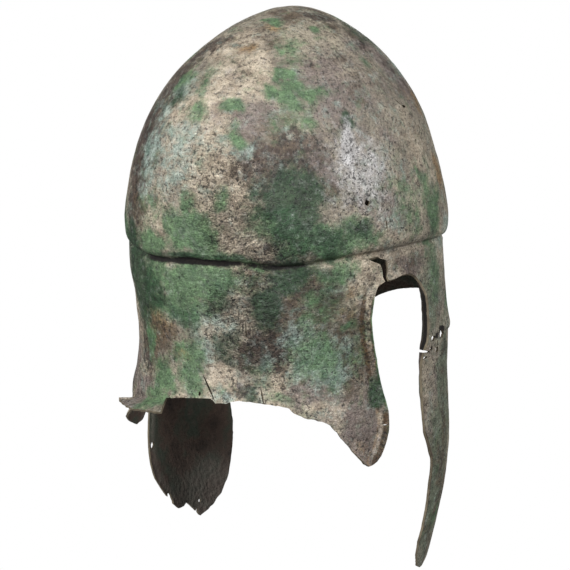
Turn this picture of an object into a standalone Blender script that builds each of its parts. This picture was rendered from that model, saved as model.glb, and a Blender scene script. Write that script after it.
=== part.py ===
# Chalcidian helmet in one sheet of bronze: bowl, neck guard, brow and both cheekpieces.
# Metres, +Z up, front is -Y, the wearer's right is -X. Origin: inside the crown of the bowl.
import bmesh
import bpy
import numpy as np

# Driving dimensions, in millimetres and degrees
WALL = 1.4             # thickness of the sheet
CROWN_Z = 145.4        # top of the crown above the groove at the nape
CROWN_FWD = 3.0        # crown ahead of the middle of the bowl
WIDEST_Z = 6.0         # widest line of the bowl above the groove
HALF_WIDTH = 96.5      # bowl at its widest line, to the side
FRONT_REACH = 114.8    # and to the front
BACK_REACH = 109.7     # and to the back
BELT_DROP = 3.0        # where the sheet below the groove begins, under the groove
FLANGE_FROM, FLANGE_TO = -219.0, -194.0    # where the nape's flange survives
FLANGE_ROWS = 3
CRACK_TOP = -118.0     # azimuth at which the crack leaves the groove

# Azimuth is 0 at the front, +90 at the wearer's left, 180 at the back.

# Bowl: latitude, half width, reach to the front, reach to the back
BOWL = ((0.0, 96.5, 114.8, 109.7), (2.0, 96.5, 114.9, 110.5), (5.2, 95.9, 114.1, 111.3),
        (9.8, 93.9, 111.7, 112.2), (16.3, 90.3, 107.0, 112.4), (24.2, 85.1, 100.3, 109.4),
        (33.4, 78.1, 91.8, 100.6), (43.6, 66.8, 79.7, 86.0), (54.1, 51.9, 64.6, 67.1),
        (64.2, 36.6, 48.1, 47.4), (73.7, 22.6, 31.0, 28.6), (81.9, 11.2, 15.8, 14.2),
        (90.0, 0.0, 0.0, 0.0))

# Groove under the bowl: azimuth, height
GROOVE = ((-180, 1.3), (-170, 1.2), (-162, 1.6), (-155, 0.5), (-148, 0.1), (-142, 0.8),
          (-135, 2.8), (-125, 4.6), (-117, 5.8), (-103, 7.9), (-95, 8.4), (-85, 8.1), (-70, 7.2),
          (-40, 6.5), (0, 6.4), (40, 6.5), (70, 7.2), (85, 8.1), (95, 8.4), (103, 7.9),
          (117, 5.8), (125, 4.6), (135, 2.8), (145, 1.2), (151, 0.8), (158, -0.2), (165, -0.6),
          (172, 0.3), (180, 1.3))

# Foot of the bowl and groove: height above the groove, offset from the widest line
FOOT = ((4.0, -0.2), (2.2, -0.8), (0.9, -1.8), (0.1, -3.2), (-0.8, -4.2), (-1.9, -4.0))

# Sheet below the groove: depth, then the offset at the front, cheek, ear and neck
SIDE = ((-3.0, -3.0, -2.8, -3.0, -2.6), (-7, -3.0, -2.6, -3.2, -2.6),
        (-12, -2.6, -2.0, -2.8, -2.8),
        (-20, -1.8, -1.4, -2.2, -3.6), (-30, -1.0, -0.6, -1.4, -6.0),
        (-42, 0.2, 0.8, -0.6, -7.2), (-54, 1.2, 2.4, -0.2, -8.6), (-66, 2.0, 3.0, 0.0, -9.0),
        (-80, 3.0, 3.0, 0.4, -8.0), (-95, 3.0, 4.0, 1.0, -5.8), (-110, 3.0, 5.2, 1.6, -5.2),
        (-134, 3.0, 6.2, 2.4, -5.0), (-150, 3.0, 5.4, 2.2, -5.0), (-165, 3.0, 4.2, 1.4, -5.0),
        (-178, 3.0, 1.8, -0.2, -5.0), (-190, 3.0, -0.4, -2.4, -5.0),
        (-205, 3.0, -3.4, -6.0, -5.0), (-220, 3.0, -7.0, -10.0, -5.0))
SIDE_AZIMUTHS = (25.0, 62.0, 92.0, 109.0)

# Places bent out of the sheet: azimuth, height, half width in degrees, half height, rise
BENT = ((121.0, -112.0, 9.0, 10.0, 2.8), (121.0, -86.0, 14.0, 9.0, 1.2),
        (-66.0, -47.0, 5.0, 6.0, 1.2))

# Outlines below the groove: azimuth, height. Past 180 at the left they run on from -180.
CRACK_LOW = ((-116.7, 1.8), (-114.2, 0.0), (-112.2, -1.4), (-111.3, -4.4), (-110.7, -11.6))
CRACK_HIGH = ((-115.9, 3.2), (-112.9, 2.2), (-110.3, 0.6), (-109.4, -3.0), (-109.6, -10.8))
ARCH_RIGHT = ((-109.7, -10.8), (-107.9, -10.7), (-105.6, -9.9), (-103.1, -8.9), (-99.4, -9.0),
              (-96.5, -11.1), (-94.4, -15.0))
ARCH_LEFT = ((94.4, -15.0), (96.5, -11.1), (99.4, -9.0), (103.1, -8.9), (105.6, -9.9),
             (109.8, -11.4))
NECK_RIGHT = ((-110.8, -11.6), (-113.6, -14.4), (-114.7, -19.8), (-115.0, -29.0),
              (-114.9, -34.4), (-114.3, -40.0), (-112.7, -49.3), (-111.0, -59.0),
              (-109.7, -70.5), (-108.6, -77.4), (-107.7, -83.6), (-106.7, -92.0),
              (-106.3, -98.0), (-106.4, -102.5), (-107.2, -109.0), (-108.9, -116.0),
              (-110.8, -119.6))
NECK_LEFT = ((-250.2, -11.4), (-246.6, -14.4), (-245.3, -19.8), (-245.0, -29.0),
             (-245.1, -34.4), (-245.7, -40.0), (-247.3, -49.3), (-249.2, -59.0),
             (-250.5, -70.5), (-252.6, -77.4), (-255.2, -83.6), (-258.6, -92.0),
             (-261.4, -98.0), (-262.8, -104.0), (-262.4, -111.0), (-259.4, -117.6),
             (-254.4, -121.6))
HEM = ((-254.4, -121.6), (-247.5, -122.8), (-241.5, -119.0), (-237.0, -112.0),
       (-233.0, -105.0), (-229.0, -99.0), (-224.0, -95.6), (-219.0, -93.2), (-214.0, -90.5),
       (-205.0, -87.7), (-197.0, -85.3), (-194.0, -84.6), (-188.8, -83.2), (-181.0, -80.9),
       (-172.0, -80.1), (-171.3, -82.2), (-167.7, -82.2), (-162.0, -79.6), (-157.1, -80.5),
       (-150.6, -81.4), (-143.9, -83.4), (-141.7, -86.6), (-137.8, -89.1), (-131.8, -91.9),
       (-129.2, -94.0), (-126.5, -98.6), (-124.2, -103.8), (-121.4, -109.0), (-119.0, -114.0),
       (-116.5, -119.0), (-113.8, -121.8), (-110.8, -119.6))
BROW_HALF = ((-38.0, -39.4), (-33.0, -38.4), (-27.3, -38.7), (-22.4, -40.0), (-16.2, -42.1),
             (-13.3, -43.4), (-7.8, -46.6), (-4.6, -49.0), (-2.0, -51.6), (0.0, -53.2))
BROW = BROW_HALF + tuple((-a, z) for a, z in reversed(BROW_HALF[:-1]))
CHEEK_FRONT = ((38.0, -39.4), (43.0, -40.6), (48.0, -44.5), (52.0, -51.0), (55.0, -60.0),
               (57.0, -72.0), (58.2, -85.0), (58.4, -98.0), (57.8, -112.0), (56.6, -124.0),
               (55.2, -138.7), (54.8, -150.0), (55.1, -161.0), (56.4, -172.0), (58.0, -182.8),
               (61.1, -193.1))
REAR_LEFT = ((94.4, -15.0), (93.4, -20.0), (92.6, -32.0), (92.4, -48.0), (93.4, -57.0),
             (94.2, -63.0), (94.0, -72.0), (93.0, -91.0), (93.4, -108.0), (94.8, -122.0),
             (96.2, -139.0), (95.4, -155.0), (93.0, -170.0), (89.4, -181.0))
REAR_RIGHT = ((-94.4, -15.0), (-93.4, -20.0), (-92.6, -32.0), (-92.4, -48.0), (-93.4, -57.0),
              (-93.6, -63.0), (-93.2, -72.0), (-91.8, -91.0), (-89.8, -108.0),
              (-86.4, -121.0), (-84.6, -128.0), (-84.2, -139.0), (-84.2, -152.0),
              (-84.5, -167.0), (-84.5, -180.0))
TIP_LEFT = ((61.1, -193.1), (65.1, -199.2), (68.3, -203.3), (71.7, -204.9), (74.3, -200.4),
            (77.8, -193.4), (80.0, -195.2), (82.6, -195.4), (85.9, -189.8), (89.4, -181.0))
TIP_RIGHT = ((-84.5, -180.0), (-82.4, -193.0), (-79.0, -202.0), (-74.5, -206.4),
             (-67.5, -202.5), (-61.1, -193.1))

# Flange turned out at the nape: azimuth of its root, of its tip, how far out, how far down
FLANGE = ((-219.0, -221.0, 10.5, 0.6), (-214.0, -214.5, 11.0, 3.4), (-205.0, -203.0, 11.5, 4.8),
          (-197.0, -192.6, 12.0, 4.8), (-194.0, -188.8, 12.0, 4.6))

# Holes and open cracks: azimuth, height, half width, half height, turn from upright
HOLES = ((-117.7, 34.8, 1.3, 1.4, 0.0), (-88.9, 87.4, 1.0, 1.0, 0.0), (-82.7, -52.7, 1.7, 1.1, 0.0),
         (-75.3, -52.9, 4.4, 2.1, -8.0), (-90.6, -58.2, 11.0, 0.7, -11.0),
         (-88.2, -63.0, 1.4, 0.8, 0.0), (-79.6, -60.8, 0.8, 1.6, 0.0),
         (94.2, -146.8, 1.6, 1.8, 0.0), (-173.8, -74.4, 0.5, 8.8, 30.0))

# Out-turned rim: lowest height, width and rise beside the ear openings
RIM_NECK = ((0.0, 2.6, 1.6), (-12.0, 3.0, 2.0), (-22.0, 7.5, 4.0), (-90.0, 7.5, 3.6),
            (-122.0, 6.0, 2.2))
RIM_CHEEK = ((0.0, 2.6, 1.6), (-12.0, 3.0, 2.2), (-22.0, 5.0, 4.4), (-52.0, 5.0, 4.4),
             (-64.0, 5.0, 2.6), (-122.0, 4.5, 1.6), (-150.0, 4.0, 0.8), (-215.0, 3.0, 0.3))

# Mesh: rows down each part and columns across it
BOWL_LATITUDES = (0.0, 4.5, 9.5, 15.0, 21.0, 28.0, 36.0, 44.0, 52.0, 60.0, 68.0, 76.0, 83.0)
LINTEL_ROWS, BROW_ROWS = 4, 6
NECK_SHARES = (0.0, 0.035, 0.07, 0.105, 0.14, 0.21, 0.29, 0.38, 0.47, 0.56, 0.65, 0.73, 0.80,
               0.86, 0.91, 0.955, 1.0)
CHEEK_ROWS = 19
RIM_STEPS = (0.0, 1.8, 3.6, 5.6, 7.8, 11.5)      # columns this far from a rimmed edge
NECK_MID, LINTEL_MID, CHEEK_MID, BROW_MID = 24, 5, 5, 18


def curve(t, knots, values):
    """Smooth curve through the knots: cubic between neighbours, slopes from both sides."""
    k, v = np.asarray(knots, float), np.asarray(values, float)
    slope = np.gradient(v, k)
    i = np.clip(np.searchsorted(k, t, side="right") - 1, 0, len(k) - 2)
    step = k[i + 1] - k[i]
    u = np.clip((t - k[i]) / step, 0.0, 1.0)
    return ((1 + 2 * u) * (1 - u) ** 2 * v[i] + u * (1 - u) ** 2 * step * slope[i]
            + u * u * (3 - 2 * u) * v[i + 1] + u * u * (u - 1) * step * slope[i + 1])


def ease(x, low, high):
    """0 below low, 1 above high and an S-shaped ramp between them."""
    u = np.clip((x - low) / (high - low), 0.0, 1.0)
    return u * u * (3 - 2 * u)


def wrap(azimuth):
    """The same azimuth between -180 and 180."""
    return (np.asarray(azimuth, float) + 180.0) % 360.0 - 180.0


def groove_z(azimuth):
    """Height of the groove."""
    a, z = np.array(GROOVE, float).T
    return curve(wrap(azimuth), a, z)


def on_oval(azimuth, half_width, front, back):
    """Point on an oval that is half an ellipse to the front and half to the back."""
    t = np.radians(azimuth)
    reach = np.where(np.cos(t) > 0, front, back)
    return half_width * np.sin(t), -reach * np.cos(t)


AZIMUTHS = np.linspace(-300.0, 300.0, 2401)
_X, _Y = on_oval(AZIMUTHS, HALF_WIDTH, FRONT_REACH, BACK_REACH)
ARCS = np.concatenate(([0.0], np.cumsum(np.hypot(np.diff(_X), np.diff(_Y)))))
ARCS = ARCS - np.interp(0.0, AZIMUTHS, ARCS)


def to_arc(azimuth):
    """Distance round the widest line, in millimetres, from the front."""
    return np.interp(azimuth, AZIMUTHS, ARCS)


def bowl_point(azimuth, latitude):
    """Bowl: an oval whose three reaches follow the table as it climbs to the crown."""
    lat, width, front, back = np.array(BOWL, float).T
    rise = np.sin(np.radians(latitude))
    x, y = on_oval(azimuth, curve(latitude, lat, width), curve(latitude, lat, front),
                   curve(latitude, lat, back))
    z = WIDEST_Z + (CROWN_Z - WIDEST_Z) * rise + groove_z(azimuth) * (1 - rise) ** 3
    return np.stack([x, y - CROWN_FWD * rise, z], -1)


def side_point(azimuth, z, lift=0.0):
    """Sheet below the groove: the widest oval, offset by the table and by lift."""
    table = np.array(SIDE, float)
    depth, offsets = table[:, 0], table[:, 1:].T
    d = np.clip(np.asarray(z, float) - groove_z(azimuth), depth[-1], depth[0])
    a = np.abs(wrap(azimuth))
    at = [curve(-d, -depth, column) for column in offsets]
    offset = at[0] + lift
    for low, high, before, after in zip(SIDE_AZIMUTHS, SIDE_AZIMUTHS[1:], at, at[1:]):
        offset = offset + ease(a, low, high) * (after - before)
    for across, height, half_width, half_height, rise in BENT:
        u, v = (wrap(azimuth) - across) / half_width, (z - height) / half_height
        offset = offset + rise * np.exp(-u * u - v * v)
    x, y = on_oval(azimuth, HALF_WIDTH + offset, FRONT_REACH + offset, BACK_REACH + offset)
    return np.stack([x, y, np.broadcast_to(z, x.shape)], -1)


def foot_point(azimuth, up, offset):
    """Rolled foot of the bowl and the groove under it."""
    x, y = on_oval(azimuth, HALF_WIDTH + offset, FRONT_REACH + offset, BACK_REACH + offset)
    return np.stack([x, y, groove_z(azimuth) + up], -1)


def edge_distance(points, outline):
    """Shortest distance of points to an outline, both as (arc, height) pairs."""
    a, b = outline[:-1], outline[1:]
    run = b - a
    gap = points[..., None, :] - a
    u = np.clip((gap * run).sum(-1) / np.maximum((run * run).sum(-1), 1e-9), 0.0, 1.0)
    return np.linalg.norm(gap - u[..., None] * run, axis=-1).min(-1)


def rim_lift(distance, z, table):
    """Rise of the out-turned rim: nothing, a shallow groove, then out to the edge."""
    top, width, rise = np.array(table, float).T
    w, r = np.interp(-z, -top, width), np.interp(-z, -top, rise)
    u = np.clip(1 - distance / w, 0.0, 1.0)
    hollow = np.exp(-((distance - 1.15 * w) / (0.3 * w)) ** 2)
    return r * u ** 1.25 - 0.1 * r * hollow


def as_path(table, smooth=True):
    """Outline table as (arc, height) pairs, rounded through its points when smooth."""
    a, z = np.array(table, float).T
    path = np.stack([to_arc(a), z], -1)
    if not smooth:
        return path
    run = np.concatenate(([0.0], np.cumsum(np.linalg.norm(np.diff(path, axis=0), axis=1))))
    t = np.unique(np.concatenate([np.linspace(p, q, 7) for p, q in zip(run, run[1:])]))
    return np.stack([curve(t, run, path[:, 0]), curve(t, run, path[:, 1])], -1)


def spread(path, shares):
    """Points along a path at the given shares of its length."""
    run = np.concatenate(([0.0], np.cumsum(np.linalg.norm(np.diff(path, axis=0), axis=1))))
    at = np.asarray(shares) * run[-1]
    return np.stack([np.interp(at, run, path[:, 0]), np.interp(at, run, path[:, 1])], -1)


def belt_line(arcs):
    """Top row of the sheet below the groove."""
    azimuth = np.interp(arcs, ARCS, AZIMUTHS)
    return np.stack([arcs, groove_z(azimuth) - BELT_DROP], -1)


def seam(azimuth, z):
    """Straight seam from the belt line down to a height, at one azimuth."""
    return np.concatenate([belt_line(to_arc(np.array([azimuth]))), [[to_arc(azimuth), z]]])


def side_of(upper, lower, upper_rows, rows):
    """Side of a patch: a seam or a crack above, then a free edge."""
    first = spread(upper, rows[:upper_rows + 1] / rows[upper_rows])
    second = spread(lower, (rows[upper_rows:] - rows[upper_rows]) / (1 - rows[upper_rows]))
    return np.concatenate([first, second[1:]])


def columns(width, middle, rim_low, rim_high):
    """Shares across a patch: close together beside a rimmed edge, even between."""
    steps = np.array(RIM_STEPS) / width
    low = steps if rim_low else steps[:1]
    high = 1 - steps[::-1] if rim_high else 1 - steps[:1]
    return np.concatenate([low, np.linspace(low[-1], high[0], middle + 1)[1:-1], high])


def snapped(path, shares, azimuths):
    """Shares along a path, the nearest ones moved to its sharp corners and to some azimuths."""
    run = np.diff(path, axis=0)
    length = np.linalg.norm(run, axis=1)
    reach = np.concatenate(([0.0], np.cumsum(length))) / length.sum()
    way = run / length[:, None]
    sharp = (way[1:] * way[:-1]).sum(1) < 0.75
    marks = list(reach[1:-1][sharp]) + [np.interp(to_arc(a), path[:, 0], reach) for a in azimuths]
    found = shares.copy()
    for mark in marks:
        found[1 + np.abs(found[1:-1] - mark).argmin()] = mark
    return np.sort(found)


def patch(low, high, bottom, rows, across, azimuths=()):
    """Coons patch in (arc, height) between the belt line, two sides and a bottom outline."""
    s, t = across[None, :, None], rows[:, None, None]
    top = belt_line(low[0, 0] + (high[0, 0] - low[0, 0]) * across)
    foot = spread(bottom, snapped(bottom, across, azimuths))
    between = (1 - s) * low[:, None, :] + s * high[:, None, :]
    down = (1 - t) * top[None] + t * foot[None]
    corners = ((1 - t) * ((1 - s) * top[0] + s * top[-1])
               + t * ((1 - s) * foot[0] + s * foot[-1]))
    return between + down - corners


def flange(root):
    """Rows of the flange out from the hem: the sheet bends, then runs out and a little down."""
    azimuth = np.interp(root[:, 0], ARCS, AZIMUTHS)
    at, tip, out, down = np.array(FLANGE, float).T
    inside = (azimuth > FLANGE_FROM - 0.05) & (azimuth < FLANGE_TO + 0.05)
    azimuth, level = azimuth[inside], root[inside, 1]
    rows = []
    for share in np.linspace(0, 1, FLANGE_ROWS + 1):
        along = azimuth + share * (np.interp(azimuth, at, tip) - azimuth)
        drop = np.interp(azimuth, at, down) * share ** 0.8
        lift = np.interp(azimuth, at, out) * share
        rows.append(side_point(along, level, lift) - drop[:, None] * (0.0, 0.0, 1.0))
    return np.stack(rows)


def sheet(grid, edges, table):
    """Grid of the flat pattern to points of the helmet, with its out-turned rim."""
    z = grid[..., 1]
    azimuth = np.interp(grid[..., 0], ARCS, AZIMUTHS)
    lift = np.zeros_like(z)
    for edge in edges:
        lift = np.maximum(lift, rim_lift(edge_distance(grid, edge), z, table))
    return side_point(azimuth, z, lift)


def lower_parts():
    """The patches below the groove, in order of azimuth from the left ear to the left ear."""
    neck_rows, cheek_rows = np.array(NECK_SHARES), np.linspace(0, 1, CHEEK_ROWS + 1)
    lintel_rows, brow_rows = np.linspace(0, 1, LINTEL_ROWS + 1), np.linspace(0, 1, BROW_ROWS + 1)
    crack_top = belt_line(to_arc(np.array([CRACK_TOP])))
    crack_low = np.concatenate([crack_top, as_path(CRACK_LOW)])
    crack_high = np.concatenate([crack_top, as_path(CRACK_HIGH)])
    arch_r, arch_l = as_path(ARCH_RIGHT), as_path(ARCH_LEFT)
    neck_r, neck_l, hem = as_path(NECK_RIGHT), as_path(NECK_LEFT), as_path(HEM, False)
    rear_r, rear_l = as_path(REAR_RIGHT), as_path(REAR_LEFT)
    front_l = as_path(CHEEK_FRONT)
    front_r = front_l * (-1, 1)
    seams = {a: seam(a, z) for a, z in ((-250.2, -11.4), (-94.4, -15.0), (-38.0, -39.4),
                                        (38.0, -39.4), (94.4, -15.0), (109.8, -11.4))}
    n, b = LINTEL_ROWS, BROW_ROWS
    parts = []
    low = side_of(seams[-250.2], neck_l, n, neck_rows)
    high = side_of(crack_low, neck_r, n, neck_rows)
    grid = patch(low, high, hem, neck_rows, columns(240.0, NECK_MID, True, True),
                 (FLANGE_FROM, FLANGE_TO))
    parts.append(sheet(grid, (neck_l, neck_r, hem[:4], hem[-4:]), RIM_NECK))
    nape = flange(grid[-1])
    low = spread(crack_high, lintel_rows)
    high = spread(seams[-94.4], lintel_rows)
    grid = patch(low, high, arch_r, lintel_rows, np.linspace(0, 1, LINTEL_MID + 1))
    parts.append(sheet(grid, (arch_r,), RIM_CHEEK))
    low = side_of(seams[-94.4], rear_r, n, cheek_rows)
    high = side_of(seams[-38.0], front_r, b, cheek_rows)
    grid = patch(low, high, as_path(TIP_RIGHT, False), cheek_rows,
                 columns(75.0, CHEEK_MID, True, False))
    parts.append(sheet(grid, (rear_r, arch_r), RIM_CHEEK))
    low, high = spread(seams[-38.0], brow_rows), spread(seams[38.0], brow_rows)
    brow = as_path(BROW)
    grid = patch(low, high, brow, brow_rows, np.linspace(0, 1, BROW_MID + 1))
    parts.append(sheet(grid, (), RIM_CHEEK))
    low = side_of(seams[38.0], front_l, b, cheek_rows)
    high = side_of(seams[94.4], rear_l, n, cheek_rows)
    grid = patch(low, high, as_path(TIP_LEFT, False), cheek_rows,
                 columns(75.0, CHEEK_MID, False, True))
    parts.append(sheet(grid, (rear_l, arch_l), RIM_CHEEK))
    low, high = spread(seams[94.4], lintel_rows), spread(seams[109.8], lintel_rows)
    grid = patch(low, high, arch_l, lintel_rows, np.linspace(0, 1, LINTEL_MID + 1))
    parts.append(sheet(grid, (arch_l,), RIM_CHEEK))
    return parts, nape


def add_grid(mesh, points, closed=False):
    """Quads between neighbouring rows and columns, seen from outside."""
    rows = [[mesh.verts.new(p) for p in row] for row in points]
    count = len(rows[0])
    for upper, lower in zip(rows, rows[1:]):
        for i in range(count if closed else count - 1):
            k = (i + 1) % count
            mesh.faces.new((upper[i], lower[i], lower[k], upper[k]))
    return rows


def surface_at(azimuth, z):
    """Point of the outer surface at one azimuth and height, of the bowl or below it."""
    if z < float(groove_z(azimuth)):
        return side_point(np.array(azimuth), np.array(z))
    latitudes = np.linspace(0.0, 89.0, 400)
    points = bowl_point(np.full(400, azimuth), latitudes)
    return points[np.abs(points[:, 2] - z).argmin()]


def add_cutter(mesh, shift, azimuth, z, half_width, half_height, turn):
    """Closed ten-sided prism through the sheet, square to its surface."""
    centre = surface_at(azimuth, z)
    along = surface_at(azimuth + 1.0, z) - surface_at(azimuth - 1.0, z)
    down = surface_at(azimuth, z - 2.0) - surface_at(azimuth, z + 2.0)
    along /= np.linalg.norm(along)
    out = np.cross(along, -down)
    out /= np.linalg.norm(out)
    up = np.cross(out, along)
    t = np.radians(turn)
    side, rise = along * np.cos(t) + up * np.sin(t), up * np.cos(t) - along * np.sin(t)
    ends = []
    for reach in (-7.0, 7.0):
        ring = [centre + reach * out + half_width * np.cos(a) * side + half_height * np.sin(a) * rise
                for a in np.radians(np.arange(10) * 36.0)]
        ends.append([mesh.verts.new((p + shift) * 0.001) for p in ring])
    low, high = ends
    mesh.faces.new(low[::-1])
    mesh.faces.new(high)
    for i in range(10):
        k = (i + 1) % 10
        mesh.faces.new((low[i], low[k], high[k], high[i]))


def as_object(name, mesh):
    """New object from a bmesh, its normals facing out."""
    bmesh.ops.recalc_face_normals(mesh, faces=mesh.faces)
    data = bpy.data.meshes.new(name)
    mesh.to_mesh(data)
    mesh.free()
    made = bpy.data.objects.new(name, data)
    bpy.context.collection.objects.link(made)
    return made


def main():
    for old in list(bpy.data.objects):
        bpy.data.objects.remove(old, do_unlink=True)
    parts, nape = lower_parts()
    rings = np.concatenate([part[0, :-1] for part in parts])
    x, y = rings[:, 0], rings[:, 1]
    widest = HALF_WIDTH + SIDE[0][1]
    reach = np.where(y < 0, FRONT_REACH, BACK_REACH) + SIDE[0][1]
    azimuth = np.degrees(np.arctan2(x / widest, -y / reach))
    foot = [foot_point(azimuth, up, offset) for up, offset in reversed(FOOT)]
    bowl = [bowl_point(azimuth, np.full_like(azimuth, lat)) for lat in BOWL_LATITUDES]
    upper = np.stack([rings] + foot + bowl)[::-1]
    mesh = bmesh.new()
    shift = np.array((0.0, CROWN_FWD, WALL - CROWN_Z))
    for part in parts + [nape]:
        add_grid(mesh, (part + shift) * 0.001)
    rows = add_grid(mesh, (upper + shift) * 0.001, closed=True)
    crown = mesh.verts.new((np.array((0.0, -CROWN_FWD, CROWN_Z)) + shift) * 0.001)
    for i, vertex in enumerate(rows[0]):
        mesh.faces.new((vertex, rows[0][(i + 1) % len(rows[0])], crown))
    bmesh.ops.remove_doubles(mesh, verts=mesh.verts, dist=1e-6)
    helmet = as_object("helmet_shell", mesh)
    wall = helmet.modifiers.new("wall", "SOLIDIFY")
    wall.thickness, wall.offset, wall.use_even_offset = WALL * 0.001, -1.0, True
    mesh = bmesh.new()
    for row in HOLES:
        add_cutter(mesh, shift, *row)
    cutter = as_object("cutter", mesh)
    cut = helmet.modifiers.new("holes", "BOOLEAN")
    cut.object, cut.operation, cut.solver = cutter, "DIFFERENCE", "EXACT"
    bpy.context.view_layer.update()
    solid = helmet.evaluated_get(bpy.context.evaluated_depsgraph_get())
    data = bpy.data.meshes.new_from_object(solid)
    helmet.modifiers.clear()
    helmet.data = data
    bpy.data.objects.remove(cutter, do_unlink=True)
    bronze = bpy.data.materials.new("patinated_bronze")
    bronze.use_nodes = True
    shader = bronze.node_tree.nodes["Principled BSDF"]
    shader.inputs["Base Color"].default_value = (0.30, 0.24, 0.17, 1.0)
    shader.inputs["Metallic"].default_value = 0.35
    shader.inputs["Roughness"].default_value = 0.6
    data.materials.append(bronze)


main()
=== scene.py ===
import bmesh
import bpy
import numpy as np
from mathutils import Matrix, Vector, kdtree


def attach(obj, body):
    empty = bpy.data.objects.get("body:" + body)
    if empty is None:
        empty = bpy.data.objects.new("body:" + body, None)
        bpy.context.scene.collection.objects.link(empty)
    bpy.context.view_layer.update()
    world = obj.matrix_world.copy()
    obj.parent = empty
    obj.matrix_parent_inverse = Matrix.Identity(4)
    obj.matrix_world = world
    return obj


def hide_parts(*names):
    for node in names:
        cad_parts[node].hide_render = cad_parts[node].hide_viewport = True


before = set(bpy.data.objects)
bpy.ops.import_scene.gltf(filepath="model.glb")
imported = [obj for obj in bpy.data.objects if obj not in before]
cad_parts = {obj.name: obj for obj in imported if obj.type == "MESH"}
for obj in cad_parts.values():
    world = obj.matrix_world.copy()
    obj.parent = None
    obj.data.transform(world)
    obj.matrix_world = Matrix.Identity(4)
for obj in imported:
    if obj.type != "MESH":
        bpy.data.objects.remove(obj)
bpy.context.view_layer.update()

# Driving dimensions of the CAD model, in millimetres and degrees
MM, PER_METRE = 0.001, 1000.0
WALL = 1.4
CROWN_Z, CROWN_FWD = 145.4, 3.0
WIDEST_Z = 6.0
GROOVE_FADE = 3     # power by which the groove's rise and fall fade up the bowl
HALF_WIDTH, FRONT_REACH, BACK_REACH = 96.5, 114.8, 109.7
BELT_DROP = 3.0
FLANGE_FROM, FLANGE_TO, FLANGE_ROWS = -219.0, -194.0, 8
CRACK_TOP, CRACK_RIGHT = -118.0, -113.6
SHIFT = np.array((0.0, CROWN_FWD, WALL - CROWN_Z))     # from the groove to the part's origin
WELD = 2e-6     # in metres
EDGE_MATERIAL = 2
# Steps to the nearby points that give the surface's directions, in degrees and millimetres
NEAR_TURN, NEAR_RISE = 1.0, 1.5

# Bowl: latitude, half width, reach to the front, reach to the back
BOWL = (
    (0, 96.5, 114.8, 109.7), (2, 96.5, 114.9, 110.5), (5.2, 95.9, 114.1, 111.3), (9.8, 93.9, 111.7, 112.2),
    (16.3, 90.3, 107, 112.4), (24.2, 85.1, 100.3, 109.4), (33.4, 78.1, 91.8, 100.6), (43.6, 66.8, 79.7, 86),
    (54.1, 51.9, 64.6, 67.1), (64.2, 36.6, 48.1, 47.4), (73.7, 22.6, 31, 28.6), (81.9, 11.2, 15.8, 14.2),
    (90, 0, 0, 0))


def mirrored(rows):
    """Rows of azimuth and height on the other side, in the order in which they go on."""
    return tuple((-azimuth, height) for azimuth, height in reversed(rows))


# Groove under the bowl: azimuth, height
GROOVE_SIDE = ((-135, 2.8), (-125, 4.6), (-117, 5.8), (-103, 7.9), (-95, 8.4), (-85, 8.1), (-70, 7.2),
               (-40, 6.5))
GROOVE = (((-180, 1.3), (-170, 1.2), (-162, 1.6), (-155, 0.5), (-148, 0.1), (-142, 0.8))
          + GROOVE_SIDE + ((0, 6.4),) + mirrored(GROOVE_SIDE)
          + ((145, 1.2), (151, 0.8), (158, -0.2), (165, -0.6), (172, 0.3), (180, 1.3)))
# Foot of the bowl and groove: height above the groove, offset from the widest line
FOOT = (
    (5, -0.05), (4, -0.2), (3, -0.5), (2.2, -0.8), (1.5, -1.2), (0.9, -1.8), (0.5, -2.5), (0.1, -3.2),
    (-0.3, -3.8), (-0.8, -4.2), (-1.3, -4.2), (-1.9, -4), (-2.5, -3.5))
# Sheet below the groove: depth, then the offset at the front, cheek, ear and neck
SIDE = (
    (-3, -3, -2.8, -3, -2.6), (-7, -3, -2.6, -3.2, -2.6), (-12, -2.6, -2, -2.8, -2.8),
    (-20, -1.8, -1.4, -2.2, -3.6), (-30, -1, -0.6, -1.4, -6), (-42, 0.2, 0.8, -0.6, -7.2),
    (-54, 1.2, 2.4, -0.2, -8.6), (-66, 2, 3, 0, -9), (-80, 3, 3, 0.4, -8), (-95, 3, 4, 1, -5.8),
    (-110, 3, 5.2, 1.6, -5.2), (-134, 3, 6.2, 2.4, -5), (-150, 3, 5.4, 2.2, -5), (-165, 3, 4.2, 1.4, -5),
    (-178, 3, 1.8, -0.2, -5), (-190, 3, -0.4, -2.4, -5), (-205, 3, -3.4, -6, -5), (-220, 3, -7, -10, -5))
SIDE_AZIMUTHS = (25.0, 62.0, 92.0, 109.0)
# Places bent out of the sheet: azimuth, height, half width in degrees, half height, rise
BENT = ((121, -112, 9, 10, 2.8), (121, -86, 14, 9, 1.2), (-66, -47, 5, 6, 1.2))

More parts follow.
